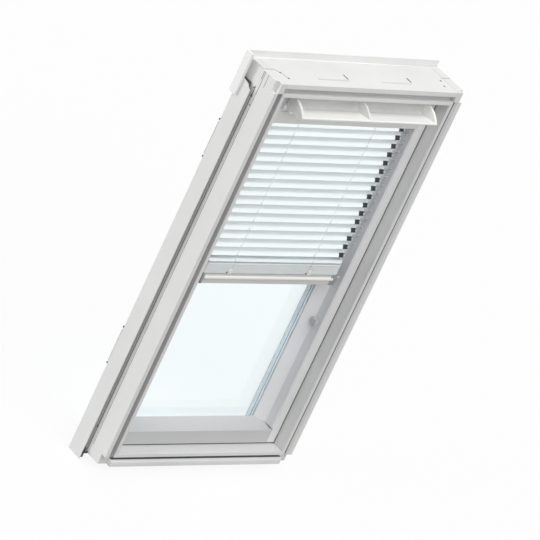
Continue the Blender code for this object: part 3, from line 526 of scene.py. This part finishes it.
def clip_mesh():
    """The dark clip on a slat's near corner, gripping the edge from both sides, with a slot across it."""
    bm = bmesh.new()
    ys = [CLIP_NEAR + (CLIP_FAR - CLIP_NEAR) * i / CLIP_STEPS for i in range(CLIP_STEPS + 1)]
    for start, end, proud in CLIP_PARTS:
        outer = [(y, crown(min(abs(y), SLAT_HALF)) + proud) for y in ys]
        inner = [(y, crown(min(abs(y), SLAT_HALF)) - CLIP_UNDER) for y in reversed(ys)]
        add_prism(bm, outer + inner, local, start, end)
    return mesh_of("slat_clip", bm, CLIP)


GUIDE_OUTLINE = ((-6.5, 1.0), (-6.5, 2.2), (-1.0, 2.5), (-1.0, 1.4))
GUIDE_ENDS = (186.5, 190.5)


def guide_mesh():
    """The grey tongue between a slat's end and the side channel."""
    bm = bmesh.new()
    add_prism(bm, GUIDE_OUTLINE, local, *GUIDE_ENDS)
    return mesh_of("slat_guide", bm, TONGUE)


RUNG_LINE = ((-12.4, -0.5), (-8.0, -0.75), (0, -0.85), (8.0, -0.75), (12.4, -0.5))
RUNG_RADIUS = 0.4


def rung_mesh():
    """The ladders' rungs under a slat, each sagging a little."""
    bm = bmesh.new()
    for x in LADDER_PLACES.values():
        add_tube(bm, [local(x, y, z) for y, z in RUNG_LINE], RUNG_RADIUS, 6)
    return mesh_of("slat_rungs", bm, CORD)


def slats():
    blade, clip, guide, rungs = blade_mesh(), clip_mesh(), guide_mesh(), rung_mesh()
    for number in range(1, SLAT_COUNT + 1):
        body = f"slat_{number:02d}"
        matrix = slat_place(FIRST_SLAT - (number - 1) * SLAT_PITCH)
        skin = placed(f"slat_skin_{number:02d}", blade, matrix, body)
        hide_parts(body)
        placed(f"slat_clip_{number:02d}", clip, matrix, body)
        placed(f"slat_guide_{number:02d}", guide, matrix, body)
        placed(f"slat_rungs_{number:02d}", rungs, matrix, body)


# Gathered slats
STACK_SLATS = 20
STACK_LOW, STACK_TOP = reach("slat_stack")[2]
GATHERED_THICKNESS = 0.4
GATHERED_RISE = 0.35
GATHERED_DROP = 0.6
GATHERED_TILT = 0.8
GATHERED_SHIFT = 0.8
GATHERED_DEPTH = 0.4
LOOSE_SLAT_HEIGHT = 516.9
LOOSE_SLAT_TILT = 15.0


def gathered_slats():
    """Flat slats on the bottom rail, each a little out of line, and a loose one on top."""
    bm = bmesh.new()
    for k in range(STACK_SLATS):
        height = STACK_LOW + (STACK_TOP - STACK_LOW) * (k + GATHERED_RISE) / STACK_SLATS - GATHERED_DROP
        tilt = rng.uniform(-GATHERED_TILT, GATHERED_TILT)
        x = rng.uniform(-GATHERED_SHIFT, GATHERED_SHIFT)
        depth = BLIND_DEPTH + rng.uniform(-GATHERED_DEPTH, GATHERED_DEPTH)
        add_blade(bm, slat_place(height, tilt, x, depth), rows=8, thickness=GATHERED_THICKNESS)
    add_blade(bm, slat_place(LOOSE_SLAT_HEIGHT, LOOSE_SLAT_TILT))
    stack = piece("gathered_slats", bm, GATHERED_LIT, "bottom_rail")
    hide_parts("slat_stack")


# Ladder cords
STRING_REACH = 9.2
STRING_RADIUS = 0.38
STRING_STEPS = 34
STRING_WANDER = 0.12
STRING_HEAD = (870.0, 875.7)
STRING_FOOT = (522.0, STACK_LOW + 1.0)


def string_points(x, depth):
    """One string past the open slats, with a slight wander between its fixed ends."""
    points = []
    for k in range(STRING_STEPS + 1):
        height = FIRST_SLAT + (LAST_SLAT - FIRST_SLAT) * k / STRING_STEPS
        points.append(at(x + rng.uniform(-STRING_WANDER, STRING_WANDER), depth, height))
    points[0], points[-1] = at(x, depth, FIRST_SLAT), at(x, depth, LAST_SLAT)
    return points


def ladder_cords(side, x):
    """A ladder's two strings in three pieces: the part past the slats and the head ride on the sash, and the
    foot on the bottom rail.
    """
    open_part, head, foot = bmesh.new(), bmesh.new(), bmesh.new()
    for off in (-STRING_REACH, STRING_REACH):
        depth = BLIND_DEPTH + off
        add_tube(open_part, string_points(x, depth), STRING_RADIUS)
        add_tube(head, [at(x, depth, height) for height in (FIRST_SLAT, *STRING_HEAD)], STRING_RADIUS)
        add_tube(foot, [at(x, depth, height) for height in (LAST_SLAT, *STRING_FOOT)], STRING_RADIUS)
    cords = piece(f"ladder_{side}_cords", open_part, CORD, "sash")
    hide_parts(f"ladder_{side}")
    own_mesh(cords)
    piece(f"ladder_{side}_head", head, CORD, "sash")
    piece(f"ladder_{side}_foot", foot, CORD, "bottom_rail")


# Ladder clips on the front of the gathered slats
LADDER_CLIPS = {"left": -131.0, "right": 101.0}
CLIP_PLATE = (5.5, (30.6, 32.2), (483.0, 496.5), 0.7)
CLIP_BOSS = (3.4, (29.9, 31.2), (485.5, 493.5), 0.6)
STUD_PROFILE = ((-0.6, 0), (-0.6, 1.7), (0.6, 1.7), (1.0, 1.2), (1.0, 0))
STUD_LEFT = 8.4
STUD_DEPTH = 32.0
STUD_HEIGHT = 486.5


def ladder_clips():
    for side, x in LADDER_CLIPS.items():
        bm = bmesh.new()
        for half, depths, heights, radius in (CLIP_PLATE, CLIP_BOSS):
            add_box(bm, (x - half, x + half), depths, heights, radius)
        piece(f"ladder_clip_{side}", bm, ROLLER, "bottom_rail")
        bm = bmesh.new()
        add_lathe(bm, STUD_PROFILE, at(x - STUD_LEFT, STUD_DEPTH, STUD_HEIGHT), FRONT, 16)
        piece(f"ladder_stud_{side}", bm, CLIP, "bottom_rail")


# Bottom rail details
RAIL_FRONT = 33.0
RAIL_CAPS = ((173.8, 191.5), (-203.9, -197.4))
RAIL_CAP_DEPTHS = (32.2, 57.8)
RAIL_CAP_HEIGHTS = (456.3, 483.9)
RAIL_CAP_RADIUS = 1.4
BAR_ENDS = (-197.0, 173.5)
BAR_MIDDLE = 473.7
BAR_HALF_HEIGHT = 3.2
BAR_PROUD = 1.6
BAR_SUNK = 0.05
BAR_FLATNESS = 0.6
BAR_STEPS = 12

# The groove under the bar and the joint over it: name, height, ends, width and how far it stands proud
GROOVE_LINE = ("rail_groove_line", 469.3, (-197.0, 173.0), 1.2, 0.05)
JOINT_LINE = ("rail_joint_line", 483.0, (-196.0, 173.0), 1.5, 0.25)


def rail_end_caps():
    bm = bmesh.new()
    for xs in RAIL_CAPS:
        add_box(bm, xs, RAIL_CAP_DEPTHS, RAIL_CAP_HEIGHTS, RAIL_CAP_RADIUS)
    piece("rail_end_caps", bm, TONGUE, "bottom_rail")


def rail_line(name, height, xs, width, proud):
    """A dark line along the rail's front."""
    bm = bmesh.new()
    add_line(bm, [at(x, RAIL_FRONT, height) for x in xs], FRONT, width, proud)
    piece(name, bm, SEAM, "bottom_rail")


def rail_front_bar():
    """The white bar along the rail's front, with a rounded face."""
    rounded = []
    for k in range(BAR_STEPS + 1):
        turn = math.pi * k / BAR_STEPS
        depth = RAIL_FRONT - BAR_SUNK - BAR_PROUD * math.sin(turn) ** BAR_FLATNESS
        rounded.append((depth, BAR_MIDDLE + BAR_HALF_HEIGHT * math.cos(turn)))
    bm = bmesh.new()
    add_prism(bm, rounded, at, *BAR_ENDS)
    piece("rail_front_bar", bm, RAIL_BAR, "bottom_rail")


# Glazing
(_, GLASS_X), GLASS_DEPTHS, GLASS_HEIGHTS = reach("glass_unit")
PANE_THICKNESS = 4.0
PANE_EDGE = 0.4
CAVITY = (GLASS_DEPTHS[0] + PANE_THICKNESS, GLASS_DEPTHS[1] - PANE_THICKNESS)
SPACER_OUTER = (GLASS_X - 2, GLASS_HEIGHTS[0] + 1, GLASS_HEIGHTS[1] - 1)
SPACER_INNER = (181.0, 66.0, 882.1)
SPACER_GAP = 0.4
BUTYL_WIDTH = 1.5
BUTYL_PROUD = 0.5
BUTYL_DEPTHS = (0.1, 0.35)


def grown(ring, by):
    """A rectangle's half width, lowest and highest place, moved outwards."""
    half, low, high = ring
    return half + by, low - by, high + by


def panes():
    bm = bmesh.new()
    for depths in ((GLASS_DEPTHS[0], CAVITY[0]), (CAVITY[1], GLASS_DEPTHS[1])):
        add_box(bm, (-GLASS_X, GLASS_X), depths, GLASS_HEIGHTS, PANE_EDGE, 1)
    glass = piece("double_glazing", bm, PANE, "sash")
    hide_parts("glass_unit")


def glass_edge():
    """The metal spacer round the cavity, and its sealant against both panes."""
    bm = bmesh.new()
    add_ring(bm, SPACER_OUTER, SPACER_INNER, (CAVITY[0] + SPACER_GAP, CAVITY[1] - SPACER_GAP))
    piece("glass_spacer", bm, SPACER, "sash")
    inner = (SPACER_INNER[0] - BUTYL_PROUD, SPACER_INNER[1] - BUTYL_PROUD, SPACER_INNER[2] + BUTYL_PROUD)
    outer = grown(inner, BUTYL_WIDTH)
    near, far = BUTYL_DEPTHS
    bm = bmesh.new()
    add_ring(bm, outer, inner, (CAVITY[0] + near, CAVITY[0] + far))
    add_ring(bm, outer, inner, (CAVITY[1] - far, CAVITY[1] - near))
    piece("glass_edge_sealant", bm, RUBBER, "sash")


# Weatherstrip in the gap round the sash, whose black is also painted shade of the gap
STRIP_OUTER = (OPENING_X - 0.3, 33.0, 945.0)
STRIP_WIDTH = 2.4
STRIP_DEPTHS = (33.4, 35.4)


def sash_weatherstrip():
    bm = bmesh.new()
    add_ring(bm, STRIP_OUTER, grown(STRIP_OUTER, -STRIP_WIDTH), STRIP_DEPTHS)
    piece("sash_weatherstrip", bm, RUBBER, "frame")


# Seals of the cladding, and the plugs of its fixing brackets
SEAL_XS = (SIDE + 0.3, SIDE + 7.4)
SEAL_DEPTHS = (72.0, 96.0)
SEAL_HEIGHTS = (-12.0, 936.0)
SEAL_RADIUS = 1.2
FOOT_SEAL = ((-284.4, -275.3), (60.5, 71.5), (-17.0, 8.0))
FOOT_SEAL_RADIUS = 1.0
RIB_COUNT = 3
RIB_XS = (-283.5, -275.3)
RIB_FRONT = 52.0
RIB_STEP = 2.8
RIB_DEEP = 2.0
RIB_LOW = -1.0
RIB_DROP = 2.0
RIB_TALL = 6.0
RIB_RADIUS = 0.5
PLUG_XS = (-285.0, -279.0)
PLUG_DEPTHS = (100.9, 105.2)
PLUG_GAP = 0.2
PLUG_END = 4.2
PLUG_RADIUS = 0.8


# Dark seals in the gap behind the cladding; their black is also painted shade of the gap.
def cladding_seals():
    bm = bmesh.new()
    for side in SIDES:
        add_box(bm, mirrored(side, *SEAL_XS), SEAL_DEPTHS, SEAL_HEIGHTS, SEAL_RADIUS)
    piece("cladding_seals", bm, RUBBER, "frame")


def cladding_foot_seal():
    """The end of the left seal, below the cladding's foot, and the ribs beside it."""
    bm = bmesh.new()
    add_box(bm, *FOOT_SEAL, FOOT_SEAL_RADIUS)
    for k in range(RIB_COUNT):
        front = RIB_FRONT + RIB_STEP * k
        low = RIB_LOW - RIB_DROP * k
        add_box(bm, RIB_XS, (front, front + RIB_DEEP), (low, low + RIB_TALL), RIB_RADIUS)
    piece("cladding_foot_seal", bm, RUBBER, "frame")


def bracket_plugs():
    """Dark plugs at the ends of the fixing brackets."""
    bm = bmesh.new()
    for name in ("side_bracket_upper", "side_bracket_lower"):
        foot, head = reach(name)[2]
        for heights in ((foot - PLUG_END, foot - PLUG_GAP), (head + PLUG_GAP, head + PLUG_END)):
            add_box(bm, PLUG_XS, PLUG_DEPTHS, heights, PLUG_RADIUS)
    piece("bracket_plugs", bm, RUBBER, "frame")


# Seams of the frame: on its top as places across and depths, on its sides as depths and heights
CORNER_SEAM_LEFT = (
    (-273.6, 91),
    (-273.6, 58.8),
    (-245.2, 58.8),
    (-237.0, 48.6),
    (-232.8, 40.8),
    (-228.8, 25.3),
)
CORNER_SEAM_RIGHT = ((273.6, 58.8), (245.2, 58.8))
CORNER_SEAM_WIDTH = 1.3
SIDE_SHORT_SEAMS = ((((52.1, 975), (52.1, 957.5)), 1.4), (((36.2, 977), (36.0, 946.7)), 1.0))
SIDE_SEAM = (48.1, (27.0, 976.0), 1.1, 0.08)
# A dark strip on each side face at the cladding's front edge, as painted shadow of the cladding.
CLADDING_GAP = (57.6, (8.0, 936.0), 2.0, 0.06)


def corner_seams():
    bm = bmesh.new()
    for seam in (CORNER_SEAM_LEFT, CORNER_SEAM_RIGHT):
        add_line(bm, [at(x, depth, FRAME_TOP) for x, depth in seam], TOP, CORNER_SEAM_WIDTH)
    piece("corner_seams_top", bm, SEAM, "frame")
    bm = bmesh.new()
    for side in SIDES:
        for seam, width in SIDE_SHORT_SEAMS:
            add_line(bm, [at(side * SIDE, *place) for place in seam], (side, 0, 0), width)
    piece("corner_seams_side", bm, SEAM, "frame")


def long_side_lines(name, material, depth, heights, width, proud):
    """A line up each side of the frame."""
    bm = bmesh.new()
    for side in SIDES:
        add_line(bm, [at(side * SIDE, depth, height) for height in heights], (side, 0, 0), width, proud)
    piece(name, bm, material, "frame")


# Screws: on the sides as depth, height and size, and small holes in the top as place across and depth
SIDE_SCREWS = ((60.7, 930.9, 0.62), (57.5, 912.5, 1.0), (51.1, 893.7, 0.5), (58.1, 66.9, 0.8))
SCREW_RIM = ((-0.5, 0), (-0.5, 3.1), (0.12, 3.1), (0.35, 2.4), (0.1, 2.1), (0.1, 0))
SCREW_CAP = ((0.0, 0), (0.0, 1.6), (0.55, 1.4), (0.75, 0.6), (0.4, 0))
TOP_HOLES = ((-235.9, 47.2), (-228.5, 24.9), (228.5, 24.9), (235.9, 47.2))
TOP_HOLE_RIM = ((-0.5, 0), (-0.5, 2.6), (0.15, 2.6), (0.3, 1.6), (0.1, 1.3), (0.1, 0))


def screws():
    heads = bmesh.new()
    recess_shade = bmesh.new()
    for side in SIDES:
        for depth, height, size in SIDE_SCREWS:
            where = at(side * SIDE, depth, height)
            add_lathe(recess_shade, [(a, r * size) for a, r in SCREW_RIM], where, (side, 0, 0), 20)
            add_lathe(heads, [(a, r * size) for a, r in SCREW_CAP], where, (side, 0, 0), 16)
    for x, depth in TOP_HOLES:
        add_lathe(recess_shade, TOP_HOLE_RIM, at(x, depth, FRAME_TOP), TOP, 18)
    piece("screw_heads", heads, HEAD, "frame")
    # The dark rims round the screw heads and the dark holes in the top are painted shade of their recesses.
    piece("screw_recess_shade", recess_shade, CLIP, "frame")


# The raised pads on the frame's top
PAD_MIDDLES = (-97.75, 88.75)
PAD_NOTCH_X = 44.3
PAD_NOTCH_DEPTHS = (47.0, 33.5)
PAD_EDGE_HALF = 43.0
PAD_EDGE_DEPTH = 27.0

# Each line's width, how far it stands proud and how far it is sunk
PAD_NOTCH_LINE = (3.4, 1.75, 0.2)
PAD_EDGE_LINE = (2.6, 0.1, 0.2)


def pad_lines():
    """The dark notch at each pad's right end, a black strip as painted shade of the notch, and a painted
    shadow line along the pad's front.
    """
    notch_shade = bmesh.new()
    edges = bmesh.new()
    for middle in PAD_MIDDLES:
        notch = [at(middle + PAD_NOTCH_X, depth, FRAME_TOP) for depth in PAD_NOTCH_DEPTHS]
        add_line(notch_shade, notch, TOP, *PAD_NOTCH_LINE)
        edge = [at(middle + side * PAD_EDGE_HALF, PAD_EDGE_DEPTH, FRAME_TOP) for side in SIDES]
        add_line(edges, edge, TOP, *PAD_EDGE_LINE)
    piece("pad_notch_shade", notch_shade, RUBBER, "frame")
    piece("pad_edge_shadow", edges, SOFT, "frame")


# Painted shade in the frame's grooves: a grey strip on the inner walls and dark strips on the outer walls
INNER_SHADE_XS = (250.6, 250.9)
INNER_SHADE_DEPTHS = (1.4, 12.4)
INNER_SHADE_HEIGHTS = (25.0, 952.0)
WALL_X = 259.4
WALL_LOW = 15.6
WALL_HIGH = 962.4
OUTER_SHADE_DEPTHS = (5.6, 12.4)
OUTER_SHADE_HEIGHTS = (25.5, 952.5)
OUTER_SHADE_XS = (-250.0, 250.0)
OUTER_SHADE_THICKNESS = 0.5
OUTER_SHADE_SUNK = 0.05


def inner_groove_shade():
    """Painted shade on the inner wall of the side grooves, as a grey strip."""
    bm = bmesh.new()
    for side in SIDES:
        add_box(bm, mirrored(side, *INNER_SHADE_XS), INNER_SHADE_DEPTHS, INNER_SHADE_HEIGHTS)
    piece("inner_groove_shade", bm, GROOVE_WALL_SHADE, "frame")


def groove_gaskets():
    """Painted shade on the outer walls of the grooves, round all four sides, as dark strips."""
    bm = bmesh.new()
    for side in SIDES:
        xs = mirrored(side, WALL_X - OUTER_SHADE_THICKNESS, WALL_X + OUTER_SHADE_SUNK)
        add_box(bm, xs, OUTER_SHADE_DEPTHS, OUTER_SHADE_HEIGHTS)
    for heights in (
        (WALL_LOW - OUTER_SHADE_SUNK, WALL_LOW + OUTER_SHADE_THICKNESS),
        (WALL_HIGH - OUTER_SHADE_THICKNESS, WALL_HIGH + OUTER_SHADE_SUNK),
    ):
        add_box(bm, OUTER_SHADE_XS, OUTER_SHADE_DEPTHS, heights)
    piece("groove_gaskets", bm, GAP_SHADE, "frame")


# Air filter in the hollow of the ventilation flap; its grey is partly painted shade of the hollow
FLAP_FACE = 20.0
FLAP_TOP = 940.0
FLAP_BEND_DEPTH = 23.5
FLAP_HEEL_DEPTH = 9.0
FLAP_HEEL_HEIGHT = 912.0
FILTER_TOP_GAP = 0.5
FILTER_LIFTS = (0.03, 0.24)
FILTER_SPANS = ((-191.4, -2.3), (2.3, 191.4))
FILTER_STEPS = 16


def filter_outline(lift):
    """The scoop's hollow face from the flap's top to its heel, lifted off it."""
    top = (FLAP_FACE - lift, FLAP_TOP - FILTER_TOP_GAP)
    bend = (FLAP_BEND_DEPTH - lift, FLAP_HEEL_HEIGHT + lift)
    heel = (FLAP_HEEL_DEPTH - lift, FLAP_HEEL_HEIGHT + lift)
    found = []
    for k in range(FILTER_STEPS + 1):
        t = k / FILTER_STEPS
        weights = ((1 - t) ** 2, 2 * t * (1 - t), t * t)
        found.append([sum(w * p[i] for w, p in zip(weights, (top, bend, heel))) for i in (0, 1)])
    return found


def flap_filter():
    bm = bmesh.new()
    under, over = (filter_outline(lift) for lift in FILTER_LIFTS)
    for span in FILTER_SPANS:
        add_prism(bm, under + list(reversed(over)), at, *span)
    piece("flap_filter", bm, FILTER_AND_SHADE, "control_bar", sharp=60)


# The camera, at the photograph's viewing angle
CAMERA_PLACE = (-7.656144, -6.822148, 5.038195)
CAMERA_TURN = (63.94033, -23.04187, -37.42558)
CAMERA_LENS = 347.6057
CAMERA_SENSOR = 36.0
CAMERA_REACH = (0.5, 80.0)


def add_camera():
    data = bpy.data.cameras.new("camera")
    data.lens = CAMERA_LENS
    data.sensor_width = CAMERA_SENSOR
    data.clip_start, data.clip_end = CAMERA_REACH
    camera = bpy.data.objects.new("camera", data)
    bpy.context.scene.collection.objects.link(camera)
    turn = Euler([math.radians(angle) for angle in CAMERA_TURN]).to_matrix()
    camera.matrix_world = Matrix.Translation(CAMERA_PLACE) @ turn.to_4x4()
    bpy.context.scene.camera = camera


# Lights: a name, an energy, the direction towards the light, and its angle as seen from the window
AMBIENT = 0.40
KEY = ("key", 1.50, (-0.16, -0.60, 0.78), 50)
TOP_LIGHT = ("top_light", 0.74, (0, 0.04, 1), 12)
SIDE_LIGHT = ("side_light", 0.38, (-1, 0.06, 0.12), 12)
BACK_LIGHT = ("back_light", 0.60, (0.35, 1, 0.25), 30)
OUTER_LIGHT = ("outer_side_light", 1.42, (-1, 0.85, 0.10), 16)
SLAT_LIGHT = ("slat_light", 1.15, (0, -0.313, 0.95), 14)
SLAT_FRONT = ("slat_front", 1.45, (-0.1, -1, -0.2), 14)

BAR_NODES = ("control_bar", "bar_bracket_left", "bar_bracket_right", "bar_bracket_middle")
TOP_NODES = ("frame_top", "frame_left", "frame_right", "top_cover", "bottom_cladding") + BAR_NODES
TOP_PIECES = ("corner_seams", "pad_", "flap_filter")
SLAT_PIECES = ("slat_skin", "gathered_slats", "rail_front_bar")
OUTER_NODES = (
    "frame_left",
    "side_cladding_left",
    "side_cladding_right",
    "bottom_cladding",
    "top_cover",
    "side_bracket_upper",
    "side_bracket_lower",
)


def sun(name, energy, direction, angle):
    light = bpy.data.lights.new(name, "SUN")
    light.energy = energy
    light.angle = math.radians(angle)
    obj = bpy.data.objects.new(name, light)
    obj.rotation_euler = Vector(direction).to_track_quat("Z", "Y").to_euler()
    bpy.context.scene.collection.objects.link(obj)
    return obj


def cad(names):
    return [nodes[name] for name in names]


def pieces(starts):
    """The pieces whose names start with one of the words given."""
    return [obj for obj in bpy.context.scene.collection.objects if obj.name.startswith(starts)]


def only(name, objects):
    """A light linking set that holds objects."""
    found = bpy.data.collections.new(name)
    for obj in objects:
        found.objects.link(obj)
    return found


def all_but(name, objects):
    """A light linking set that leaves objects out."""
    found = only(name, objects)
    for listed in found.collection_objects:
        listed.light_linking.link_state = "EXCLUDE"
    return found


def add_lights():
    """The slats and the white bar below them have two lights of their own, in place of the main one."""
    key = sun(*KEY)
    top_light = sun(*TOP_LIGHT)
    sun(*SIDE_LIGHT)
    sun(*BACK_LIGHT)
    outer_light = sun(*OUTER_LIGHT)
    slat_set = only("slats", pieces(SLAT_PIECES))
    for light in (sun(*SLAT_LIGHT), sun(*SLAT_FRONT)):
        light.light_linking.receiver_collection = slat_set
        light.light_linking.blocker_collection = slat_set
    key.light_linking.receiver_collection = all_but("key_misses", pieces(SLAT_PIECES))
    key.light_linking.blocker_collection = all_but("bar", cad(BAR_NODES))
    outer_light.light_linking.receiver_collection = only("outer", cad(OUTER_NODES))
    top_light.light_linking.receiver_collection = only("top", cad(TOP_NODES) + pieces(TOP_PIECES))


def seen_directly(tree):
    """1 for rays from the camera and for those that gloss or glass sends on, and 0 for other light."""
    path = tree.nodes.new("ShaderNodeLightPath")
    seen = path.outputs["Is Camera Ray"]
    for ray in ("Is Glossy Ray", "Is Transmission Ray"):
        either = tree.nodes.new("ShaderNodeMath")
        either.operation = "MAXIMUM"
        tree.links.new(seen, either.inputs[0])
        tree.links.new(path.outputs[ray], either.inputs[1])
        seen = either.outputs[0]
    return seen


def split_by_ray(tree, lit, seen, output):
    """Sends one shader to the light and another to what is seen."""
    mix = tree.nodes.new("ShaderNodeMixShader")
    tree.links.new(seen_directly(tree), mix.inputs["Fac"])
    tree.links.new(lit, mix.inputs[1])
    tree.links.new(seen, mix.inputs[2])
    tree.links.new(mix.outputs["Shader"], tree.nodes[output].inputs["Surface"])


def add_world():
    """A soft even light that shows as plain white."""
    world = bpy.data.worlds.new("studio")
    world.use_nodes = True
    tree = world.node_tree
    background = tree.nodes["Background"]
    background.inputs["Color"].default_value = (0.985, 0.99, 1.0, 1)
    background.inputs["Strength"].default_value = AMBIENT
    white = tree.nodes.new("ShaderNodeBackground")
    white.inputs["Color"].default_value = (1, 1, 1, 1)
    split_by_ray(tree, background.outputs["Background"], white.outputs["Background"], "World Output")
    bpy.context.scene.world = world


# The floor, just under the window's foot
FLOOR_HALF = 40.0
FLOOR_DROP = 0.0005
FLOOR_GLOW = 0.905


def floor_material():
    """A pale floor that shows white, with a trace of the object's shadow."""
    material, tree, shader = node_material("floor_white")
    shader.inputs["Base Color"].default_value = (0.50, 0.50, 0.50, 1)
    shader.inputs["Roughness"].default_value = 0.9
    faint = tree.nodes.new("ShaderNodeBsdfDiffuse")
    faint.inputs["Color"].default_value = (0.10, 0.10, 0.10, 1)
    glow = tree.nodes.new("ShaderNodeEmission")
    glow.inputs["Strength"].default_value = FLOOR_GLOW
    both = tree.nodes.new("ShaderNodeAddShader")
    tree.links.new(faint.outputs["BSDF"], both.inputs[0])
    tree.links.new(glow.outputs["Emission"], both.inputs[1])
    split_by_ray(tree, shader.outputs["BSDF"], both.outputs["Shader"], "Material Output")
    return material


def add_floor():
    bm = bmesh.new()
    bmesh.ops.create_grid(bm, x_segments=1, y_segments=1, size=FLOOR_HALF)
    mesh = bpy.data.meshes.new("floor")
    bm.to_mesh(mesh)
    bm.free()
    mesh.materials.append(floor_material())
    floor = bpy.data.objects.new("floor", mesh)
    bpy.context.scene.collection.objects.link(floor)
    floor.location.z = -FLOOR_DROP


def build():
    for material, names in CAD_FINISH.items():
        for name in names:
            dress(name, material)
    slats()
    gathered_slats()
    for side, x in LADDER_PLACES.items():
        ladder_cords(side, x)
    ladder_clips()
    rail_end_caps()
    rail_line(*GROOVE_LINE)
    rail_front_bar()
    rail_line(*JOINT_LINE)
    panes()
    glass_edge()
    sash_weatherstrip()
    cladding_seals()
    corner_seams()
    long_side_lines("side_seams", SEAM, *SIDE_SEAM)
    long_side_lines("cladding_gaps", GAP_SHADE, *CLADDING_GAP)
    screws()
    pad_lines()
    inner_groove_shade()
    groove_gaskets()
    bracket_plugs()
    cladding_foot_seal()
    flap_filter()
    add_camera()
    add_lights()
    add_world()
    add_floor()
    bpy.context.scene.view_settings.view_transform = "Standard"


build()
